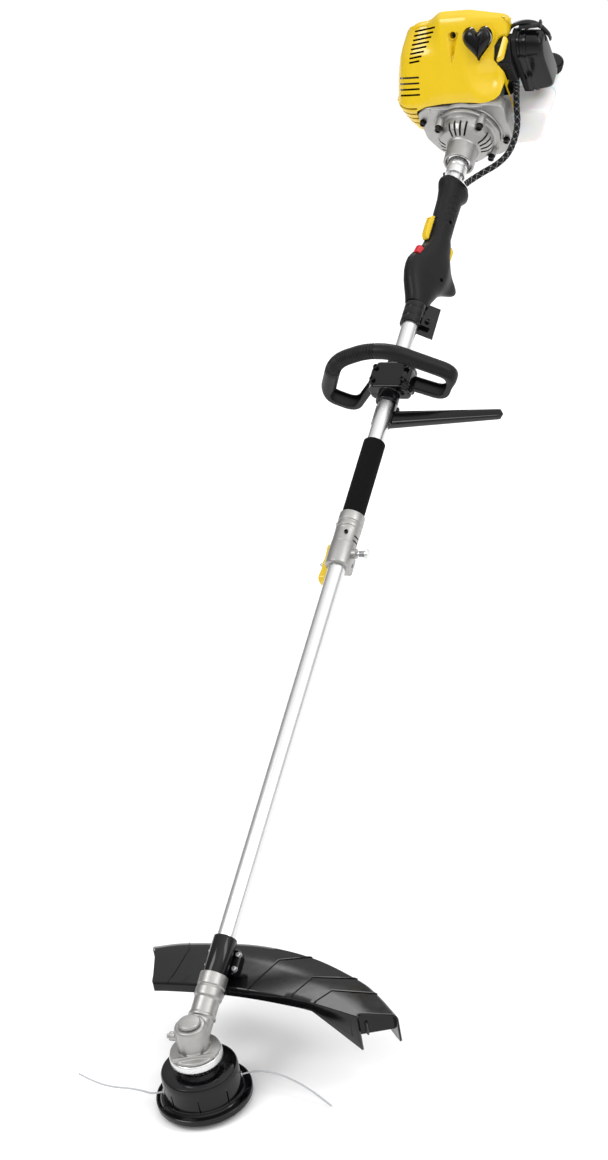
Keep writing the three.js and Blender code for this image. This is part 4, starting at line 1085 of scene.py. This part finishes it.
# ------------------------------------------------------------------ clutch and fan housings
def clutch_housing():
    lathe_piece("tube_socket_sleeve", soften([(TUBE_BORE, 1500), (16.6, 1500), (16.6, 1515), (16, 1515.6),
            (16, 1517), (16.6, 1517.6), (16.6, 1530), (22, 1532), (22, 1562), (TUBE_BORE, 1562)], 0.6, 3),
            on_shaft, "bright_aluminium", "root", ["tube_socket"], 96, closed=True)
    shell = object_of("clutch_bell", lathe(bmesh.new(), soften([(22.3, 1526.4), (24.9, 1526),
            (25.6, 1527), (26.5, 1558), (29, 1561.5), (40, 1567), (45.4, 1575), (46.4, 1589),
            (49.5, 1590.6), (55.2, 1591), (56, 1592.5), (56, 1598), (41, 1598), (41, 1574), (36, 1568),
            (22.3, 1564)], 1.4, 3), on_shaft, 128, closed=True))
    ears = bmesh.new()
    ear_spots = [(51 * math.cos(turn), 51 * math.sin(turn)) for turn in [math.pi / 4 + i * math.pi / 2
            for i in (0, 1, 3)]]
    for spot in ear_spots:
        lathe(ears, soften([(0, 1577), (6.4, 1577), (8.2, 1597.8), (0, 1597.8)], 1.2),
                lambda x, y, s, spot=spot: on_shaft(*spot, 0) + on_shaft(x, y, s) - SPINDLE, 40)
    carve(shell, ears, "UNION")
    slots = bmesh.new()
    for middle in (0, 90, 180, 270):
        for i in range(4):
            turn = math.radians(middle - 90 + 13 * (i - 1.5))
            out = -math.sin(turn) * LEFT + math.cos(turn) * ENGINE_UP
            base = SPINDLE + MM * 1570.5 * UP_SHAFT
            aside = math.cos(turn) * LEFT + math.sin(turn) * ENGINE_UP
            slot = round_outline(rect(-1.7, 1.7, -10.5, 10.5), 1.6, 4)
            stack(slots, slot, [(30, 0), (49, 0)], lambda x, s, r, base=base, aside=aside, out=out: base
                    + MM * (x * aside + s * UP_SHAFT + r * out))
    carve(shell, slots)
    bevel(shell, 0.5, 2, 42)
    dress(shell, "cast_aluminium", "root", ["clutch_housing"], 38)
    screws = bmesh.new()
    for spot in ear_spots:
        bolt(screws, across(-UP_SHAFT, on_shaft(*spot, 1577)), 5.2, 7.5, 6.2)
    for a, v, s in ((-72, 27, 1600.2), (61, -23, 1600.2)):
        bolt(screws, across(-UP_SHAFT, on_shaft(a, v, s)), 4.8, 6, 5.8)
    bolt(screws, across(-LEFT, on_shaft(-16.4, -2, 1508)), 3.4, 5, 4.4)
    piece("housing_bolts", screws, "gloss_black", "root")
    fan = bmesh.new()
    plate = [(-78, 44), (-62, 56), (52, 58), (74, 50), (72, -20), (62, -44), (40, -60), (-40, -60),
            (-62, -46), (-78, -14)]
    rounded_stack(fan, round_outline(plate, 8, 6), 1600.6, 1625, 3, on_shaft)
    case = object_of("fan_case", fan)
    carve(case, lathe(bmesh.new(), soften([(0, 1598.4), (59, 1598.4), (60.5, 1606), (0, 1606)], 1.5),
            on_shaft, 96), "UNION")
    shelf = [(-52, 44), (40, 50), (40, 57.4), (-52, 55.4)]
    carve(case, rounded_stack(bmesh.new(), round_outline(shelf, 3, 4), 1598.4, 1612, 2, on_shaft),
            "UNION")
    bores = rod(bmesh.new(), 42, 1590, 1603, on_shaft, 64)
    rod(bores, 54, 1601, 1630, on_shaft, 64)
    carve(case, bores)
    bevel(case, 0.8, 2, 45)
    dress(case, "cast_aluminium", "root", ["fan_housing"], 38)


# ------------------------------------------------------------------ engine cover
COVER_LEFT = -118      # a at the cover's left flank
COVER_BARREL = 34      # radius of that flank's round shoulder
COVER_BACK = 1709.8    # s of its open back


def cover_side():
    profile = soften([(1607, -2), (1602, 56), (1613, 74), (1686, 156.5), (1695, 164), (1710, 164)], 13, 8)
    line = spaced([Vector(point) for point in profile], 2)
    normals = []
    for i in range(len(line)):
        ahead = heading(line, i)
        normals.append(Vector((-ahead.y, ahead.x)))
    return line, normals


def cover_right(v):
    return 75 + 12 * ease(v, 118, 146)


def cover_drop(a, v):
    """How far the cover's surface lies under its side profile."""
    ridge = 16 + 0.14 * max(0, v - 109) + 0.0085 * min(0, v - 109) ** 2
    beyond = a - ridge
    drop = 0.13 * (beyond + math.sqrt(beyond * beyond + 12)) * ease(v, 40, 62)
    drop += 0.07 * max(0, -26 - a) * ease(v, 50, 80)
    drop += 15 * ease(v, 118, 160) * ease(-a, 22, 54)
    groove_top, groove_end = 140, 107
    if groove_end < v < groove_top + 6:
        half = 9 * (v - groove_end) / (groove_top - groove_end)
        middle = -8 + 5 * (v - groove_end) / (groove_top - groove_end)
        drop += 8 * max(0, 1 - abs(a - middle) / max(half, 0.1)) * min(1, (v - groove_end) / 14)
    scoop = Vector(((a - 50) / 26, (v - 90) / 24)).length
    return drop + 5 * (1 - ease(scoop, 0.1, 1))


def cover_columns(v):
    right = cover_right(v)
    left = COVER_LEFT + 20 * (max(0, v - 66) / 90) ** 2 + 12 * (max(0, 66 - v) / 66) ** 2
    start = left + COVER_BARREL
    columns = []
    for i in range(14, 0, -1):
        turn = math.pi / 2 * i / 14
        columns.append((start - COVER_BARREL * math.sin(turn), COVER_BARREL * (1 - math.cos(turn))))
    edge = 9
    count = 110
    for i in range(count + 1):
        columns.append((start + (right - edge - start) * i / count, 0))
    for i in range(1, 9):
        turn = math.pi / 2 * i / 8
        columns.append((right - edge + edge * math.sin(turn), edge * (1 - math.cos(turn))))
    return columns


def cover_rows(sunk=0):
    line, normals = cover_side()
    rows = []
    for spot, normal in zip(line, normals):
        row = []
        for a, roll in cover_columns(spot.y):
            a += sunk * 0.8 * (a < 0) - sunk * 0.8 * (a > 0)
            place = spot - normal * (cover_drop(a, spot.y) + roll + sunk)
            row.append((a, place.y, min(place.x, COVER_BACK)))
        first = (row[0][0], row[0][1], COVER_BACK)
        last = (row[-1][0], row[-1][1], COVER_BACK)
        rows.append([on_shaft(*point) for point in [first] + row + [last]])
    return rows


HEART_UP = 0.752 * ENGINE_UP + 0.659 * UP_SHAFT
HEART_OUT = 0.659 * ENGINE_UP - 0.752 * UP_SHAFT
HEART_SPOT = on_shaft(40, 130.5, 1664)


def on_heart(x, y, z):
    return HEART_SPOT + MM * (x * LEFT + y * HEART_UP + z * HEART_OUT)


def heart_outline(size):
    """A rounded heart with its point down, about 40 by 46 at size 1."""
    points = []
    for i in range(72):
        turn = 2 * math.pi * i / 72
        x = 16 * math.sin(turn) ** 3
        y = 13 * math.cos(turn) - 5 * math.cos(2 * turn) - 2 * math.cos(3 * turn) - math.cos(4 * turn)
        points.append((1.22 * size * x, 1.5 * size * (y + 2.2)))
    return points


SLOPE_FOOT = Vector((1613, 74))
SLOPE = Vector((73, 82.5)).normalized()
SCREW_SPOT = (-2.5, 93)     # the cover screw's place on the slope


def on_slope(a, climb, out):
    """On the cover's slope: climb is measured up it from its foot, out along its normal."""
    spot = SLOPE_FOOT + SLOPE * climb + Vector((-SLOPE.y, SLOPE.x)) * out
    return on_shaft(a, spot.y, spot.x)


def at_cover_screw(x, y, z):
    return on_slope(SCREW_SPOT[0] + x, SCREW_SPOT[1] + y, z)


def vent(tools, left, right, climb, tilt, place):
    half = 1.55
    reach = (right - left) / 2
    middle = (left + right) / 2
    slot = round_outline(rect(-reach, reach, -half, half), 1.5, 4)
    turned = [(middle + x * math.cos(tilt) - y * math.sin(tilt), climb + x * math.sin(tilt)
            + y * math.cos(tilt)) for x, y in slot]
    stack(tools, turned, [(-30, 0), (12, 0)], place)


def engine_cover():
    shell = moulded_shell("engine_cover_shell", cover_rows(), HEART_OUT, 2.6)
    floor = [(-79, -20), (-79, 44), (-76, 50), (-60, 57), (-30, 60.5), (0, 61.5), (25, 59.8), (44, 57),
            (60, 58.5), (69, 62), (74, 69), (76, 78), (110, 80), (110, -20)]
    tools = stack(bmesh.new(), floor, [(1590, 0), (1640, 0)], on_shaft)
    stack(tools, [(-79, -20), (-79, 46), (-60, 57), (110, 57), (110, -20)], [(1640.2, 0), (1720, 0)],
            on_shaft)
    stack(tools, [(-130, -20), (-130, 2), (-78, 2), (-78, -20)], [(1590, 0), (1720, 0)], on_shaft)
    carve(shell, tools)
    tools = bmesh.new()
    for i in range(8):
        climb = 55 + 7.2 * i
        vent(tools, -84 + 1.2 * i, -64 + 4.3 * i, climb, 0.12, on_slope)
    for i in range(4):
        vent(tools, -106, -67, 2 + 9.3 * i, 0.0, on_slope)
    for i in range(4):
        vent(tools, -108, -75, 20 + 11.5 * i, 0.0, lambda a, v, out: on_shaft(a, v, 1604 - out))
    carve(shell, tools)
    tools = stack(bmesh.new(), heart_outline(1.32), [(-30, 0), (20, 0)], on_heart)
    rod(tools, 6, -20, 20, at_cover_screw, 40)
    notch = [(61, 1655), (64, 1668), (70, 1679), (78, 1684), (100, 1684), (100, 1650), (72, 1648)]
    stack(tools, round_outline(notch, 2.5, 4), [(60, 0), (180, 0)], from_above)
    carve(shell, tools)
    bevel(shell, 0.45, 2, 50)
    dress(shell, "yellow_plastic", "root", ["engine_cover"], 40)
    sunken = [row[1:52] for row in cover_rows(9)[3:]]
    liner = object_of("inner_shroud", skin(bmesh.new(), sunken, around=False, caps=False))
    dress(thicken(liner, 1.2), "rubber", "root")
    well = object_of("boot_well", stack(bmesh.new(), heart_outline(1.32), [(-22, 0.05), (-1.2, 0.05)],
            on_heart, caps=False))
    thicken(well, 1.6)
    dress(well, "yellow_plastic", "root", angle=40)
    hole = lathe(bmesh.new(), [(6.9, -16), (6.9, -0.6), (5.9, -0.6), (5.9, -14.5), (0, -14.5), (0, -16)],
            at_cover_screw, 40)
    piece("cover_screw_well", hole, "yellow_plastic", "root")
    screw = bolt(bmesh.new(), across(HEART_OUT, at_cover_screw(0, 0, -14.4)), 4.4, 4)
    piece("cover_screw", screw, "gloss_black", "root")
    tab = rounded_stack(bmesh.new(), round_outline([(68, 1648), (80, 1652), (88, 1676), (80, 1680)], 3,
            4), 103, 109, 1.5, lambda a, s, v: on_shaft(a, v + 0.75 * (s - 1650), s))
    piece("choke_tab", tab, "yellow_plastic", "root")


def spark_plug_boot():
    bm = bmesh.new()
    layers = [(-16, 0.98), (-7, 1.08), (-2, 1.15), (1.5, 1.17), (4, 1.15), (6.2, 1.08), (7.8, 0.96),
            (8.8, 0.78), (9.3, 0.52), (9.4, 0.2)]
    skin(bm, [[on_heart(x, y, height) for x, y in heart_outline(size)] for height, size in layers])
    cap = object_of("boot_heart", bm)
    groove = stack(bmesh.new(), rect(-1.1, 1.1, -22, 26), [(7.6, 0), (14, 0)],
            lambda x, y, z: on_heart(0.5 + x * 0.9 + 0.28 * (y + 18), y, z))
    carve(cap, groove)
    dress(calm(cap, 0.4, 2), "gloss_black", "root", ["spark_plug_boot"], 50)
    path = [on_shaft(*point) for point in smooth_path([(43, 126, 1674), (34, 122, 1684), (14, 123, 1682),
            (0, 123, 1680)], 8)]
    curve_piece("boot_elbow", path, 0.0042, "rubber", "root")
    lathe_piece("boot_cup", soften([(4.3, 116.5), (7.2, 116.5), (7.2, 128), (5, 131), (0, 131), (0, 127),
            (4.3, 126.8)], 1), lambda x, y, z: on_shaft(x, z, 1678 + y), "rubber", "root", sides=48)


# ------------------------------------------------------------------ intake, tank and starter
FILTER_OUTLINE = [(1662, 21), (1670, 14), (1702, 14), (1709, 22), (1709, 118), (1702, 125), (1678, 125),
        (1662, 103)]


def air_filter():
    outline = round_outline(FILTER_OUTLINE, 9, 8)
    middle = Vector((1686, 68))
    rows = []
    for a, factor in [(99.3, 0.985), (99.8, 1), (103.4, 1), (104.2, 0.955), (109.4, 0.95), (110.2, 0.975),
                      (114.2, 0.98), (114.9, 0.94), (122, 0.93), (131, 0.91), (136, 0.88), (139, 0.83),
                      (140.6, 0.76), (141, 0.68)]:
        rows.append([on_side(*(middle + factor * (Vector(spot) - middle)), a) for spot in outline])
    cover = object_of("filter_cover", skin(bmesh.new(), rows))
    dress(cover, "gloss_black", "root", ["air_filter_cover"], 30)
    base = rounded_stack(bmesh.new(), round_outline(FILTER_OUTLINE, 7, 6), 90.6, 98.9, 1.2, on_side)
    piece("filter_back", base, "matte_black", "root", ["air_filter_base"])
    shroud = bmesh.new()
    block = [(1652, 60), (1656, 52), (1696, 52), (1700, 60), (1700, 112), (1692, 124), (1670, 122),
            (1652, 96)]
    rounded_stack(shroud, round_outline(block, 6, 5), 62, 90.3, 3, on_side)
    rounded_stack(shroud, round_outline(rect(1650, 1664, 84, 98), 3, 4), 66, 86, 2, on_side)
    lathe(shroud, soften(rect(0, 10, 42, 54), 2), lambda x, y, z: on_shaft(76 + x, z, 1672 + y), 40)
    piece("intake_shroud", shroud, "matte_black", "root", ["carburettor"], 35)
    strap_path = [on_shaft(*point) for point in smooth_path([(82, 118, 1704), (90, 128, 1704),
            (104, 132.4, 1705), (120, 131, 1706), (134, 122, 1706), (143.5, 104, 1706), (145, 92, 1706)],
            8)]
    strap = bmesh.new()
    half_wide, half_thick = 0.0048, 0.0014
    section = [(-half_wide, -half_thick), (half_wide, -half_thick), (half_wide, half_thick * 0.4),
            (half_wide * 0.6, half_thick), (-half_wide * 0.6, half_thick), (-half_wide, half_thick * 0.4)]
    inner_spot = on_shaft(120, 60, 1704)
    sweep(strap, strap_path, lambda i: section, lambda spot: (spot - inner_spot).normalized())
    piece("filter_strap", strap, "gloss_black", "root", angle=40)
    lever = rounded_stack(bmesh.new(), round_outline([(102, 1693), (140, 1693.5), (141, 1702),
            (102, 1703)], 4, 5), 128.5, 131.4, 0.9, from_above)
    rounded_stack(lever, round_outline(rect(137, 141, 1691, 1705), 1.5, 4), 128.6, 136, 0.8, from_above)
    piece("choke_arm", lever, "matte_black", "choke", ["choke_lever"])


TANK_OUTLINE = [(-70, -50), (-72, -68), (-60, -76), (20, -80), (92, -75), (104, -66), (128, -16),
        (125, -5), (112, 1), (68, 1), (57, -6), (50, -43), (40, -49)]
NECK_BASE = (112, -8, 1731)
NECK_AXIS = 0.42 * LEFT + 0.907 * ENGINE_UP


def fuel_tank():
    bm = rounded_stack(bmesh.new(), round_outline(TANK_OUTLINE, [6, 6, 8, 8, 12, 12, 14, 8, 8, 10, 8, 8,
            8], 7), 1638, 1752, 7, on_shaft, 7)
    piece("tank_shell", bm, "tank_plastic", "root", ["fuel_tank"], 60)
    neck = across(NECK_AXIS, on_shaft(*NECK_BASE))
    lathe_piece("tank_neck", soften([(0, 2), (12.6, 2), (12.4, 14), (0, 14)], 1), neck, "tank_plastic",
            "root")
    seam = bmesh.new()
    ring_rows = []
    for along, out in ((1694.2, 0.2), (1694.6, -0.9), (1696.4, -0.9), (1696.8, 0.2)):
        ring_rows.append([on_shaft(x, y, along) for x, y in inset(round_outline(TANK_OUTLINE, 9, 7),
                out)])
    skin(seam, ring_rows, closed=True, caps=False)
    piece("tank_seam", seam, "tank_plastic", "root", angle=60)
    cap = bmesh.new()
    ridges = []
    for i in range(180):
        turn = 2 * math.pi * i / 180
        radius = 17.2 + 0.8 * max(-0.6, math.cos(30 * turn))
        ridges.append((radius * math.cos(turn), radius * math.sin(turn)))
    stack(cap, ridges, [(14.4, 0.8), (15.2, 0), (30, 0), (31.4, 0.8), (31.6, 2.4)], neck)
    lathe(cap, soften([(0, 31), (15, 31), (14, 33.6), (0, 33.8)], 0.8), neck, 64)
    piece("cap_knurled", cap, "matte_black", "filler_cap", ["fuel_cap"], 30)


def starter():
    outline = [(-70, -36), (-77, 10), (-58, 60), (-20, 76), (34, 76), (48, 52), (48, -36)]
    bm = rounded_stack(bmesh.new(), round_outline(outline, 14, 7), 1710.4, 1754, 7, on_shaft, 6)
    shell = object_of("starter_cover", bm)
    tools = bmesh.new()
    for i in range(20):
        turn = 2 * math.pi * i / 20
        slot = [(20, -1.8), (37, -2.4), (37, 2.4), (20, 1.8)]
        turned = [(x * math.cos(turn) - y * math.sin(turn), 4 + x * math.sin(turn) + y * math.cos(turn))
                for x, y in round_outline(slot, 1.6, 4)]
        stack(tools, turned, [(1746, 0), (1760, 0)], on_shaft)
    lathe(tools, [(0, 1751.4), (15, 1751.4), (15.8, 1760), (0, 1760)],
            lambda x, y, s: on_shaft(x, y + 4, s), 64)
    rod(tools, 3.4, 60, 90, lambda x, y, z: on_shaft(20 + x, z, 1733 + y), 32)
    carve(shell, tools)
    bevel(shell, 0.5, 2, 45)
    dress(shell, "matte_black", "root", ["starter_housing"], 40)
    screws = bmesh.new()
    for a, v in ((-60, -26), (-64, 14), (-50, 54), (38, 50), (39, -27)):
        bolt(screws, across(UP_SHAFT, on_shaft(a, v, 1753.2)), 3.8, 2.6, 5)
    piece("starter_screws", screws, "steel", "root")
    grip = bmesh.new()
    handle = [(-9, 0), (9, 0), (9.4, 12), (5, 17.6), (-5, 17.6), (-9.4, 12)]
    base = on_shaft(20, 80.4, 1733)
    rounded_stack(grip, round_outline(handle, 3.5, 5), -22, 22, 4, lambda x, v, a: base
            + MM * (x * UP_SHAFT + v * ENGINE_UP + a * LEFT))
    lathe(grip, soften([(0, -4), (6, -4), (7, 2), (0, 2)], 1), lambda x, y, z: base
            + MM * (x * LEFT + y * UP_SHAFT + z * ENGINE_UP), 40)
    piece("starter_handle_grip", grip, "rubber", "starter_handle", ["starter_grip"], 40)
    rope = [on_shaft(20, 78 - i, 1733) for i in range(16)]
    curve_piece("starter_rope_end", rope, 0.0018, "nylon", "starter_handle")


CONDUIT = [(22, -2, 1484.6), (30, -1, 1492), (50, 4, 1503), (70, 4, 1520), (82, 1, 1545), (87, 2, 1575),
        (87, 8, 1605), (84, 22, 1630), (84, 36, 1646), (85, 46, 1655), (85, 57.5, 1662)]


def conduit():
    path = [on_shaft(*point) for point in smooth_path(CONDUIT, 16)]
    core = curve_piece("conduit_core", path, 0.0044, "rubber", "root", 6)
    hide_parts("control_conduit")
    frames = []
    side = heading(path, 0).orthogonal().normalized()
    for i, spot in enumerate(path):
        ahead = heading(path, i)
        side = squared(side, ahead)
        frames.append((spot, side, ahead.cross(side)))
    strands = 8
    for way in (-1, 1):
        for strand in range(strands):
            points = []
            for i, (spot, one, two) in enumerate(frames):
                turn = way * 0.42 * i + 2 * math.pi * strand / strands
                lift = 0.0046 + 0.00022 * math.sin(strands * turn * 0.5 + way)
                points.append(spot + lift * (math.cos(turn) * one + math.sin(turn) * two))
            pale = strand % 4 == 0
            curve_piece(f"conduit_braid_{'right' if way > 0 else 'left'}_{strand}", points,
                    0.0003 if pale else 0.00055, "nylon" if pale else "matte_black", "root", 1)


# ------------------------------------------------------------------ inner pieces and the rest
DARK_NODES = ("clutch_drum", "clutch_shoes", "flywheel", "crankshaft")


def inner_pieces():
    """The working parts inside get eased edges and their own metals."""
    for node, finish, body in [
            ("crankcase", "cast_aluminium", "root"), ("cylinder", "cast_aluminium", "root"),
            ("spark_plug", "steel", "root")]:
        refine(node, finish, body)
    muffler = copy_of("muffler")
    beyond = rect(-140, -99, -80, 180)
    carve(muffler, stack(bmesh.new(), beyond, [(1560, 0), (1780, 0)], on_shaft))
    dress(bevel(muffler, 1.5, 3), "dark_steel", "root", ["muffler"])
    for entry in frame["record"]["subparts"]:
        node = frame["nodes"][entry["node"]]
        node.data.materials.clear()
        finish = "dark_steel" if entry["node"] in DARK_NODES else entry["material_slot"]
        node.data.materials.append(finishes[finish])


def place_pieces():
    cutting_head()
    gearbox()
    shaft_tube("lower_tube_finish", "lower_tube", "attachment")
    shaft_tube("upper_tube_finish", "upper_tube", "root")
    guard()
    coupler()
    pull_pin()
    wing_knob()
    foam_grip()
    front_handle()
    rear_handle()
    clutch_housing()
    engine_cover()
    spark_plug_boot()
    air_filter()
    fuel_tank()
    starter()
    conduit()
    inner_pieces()


place_pieces()
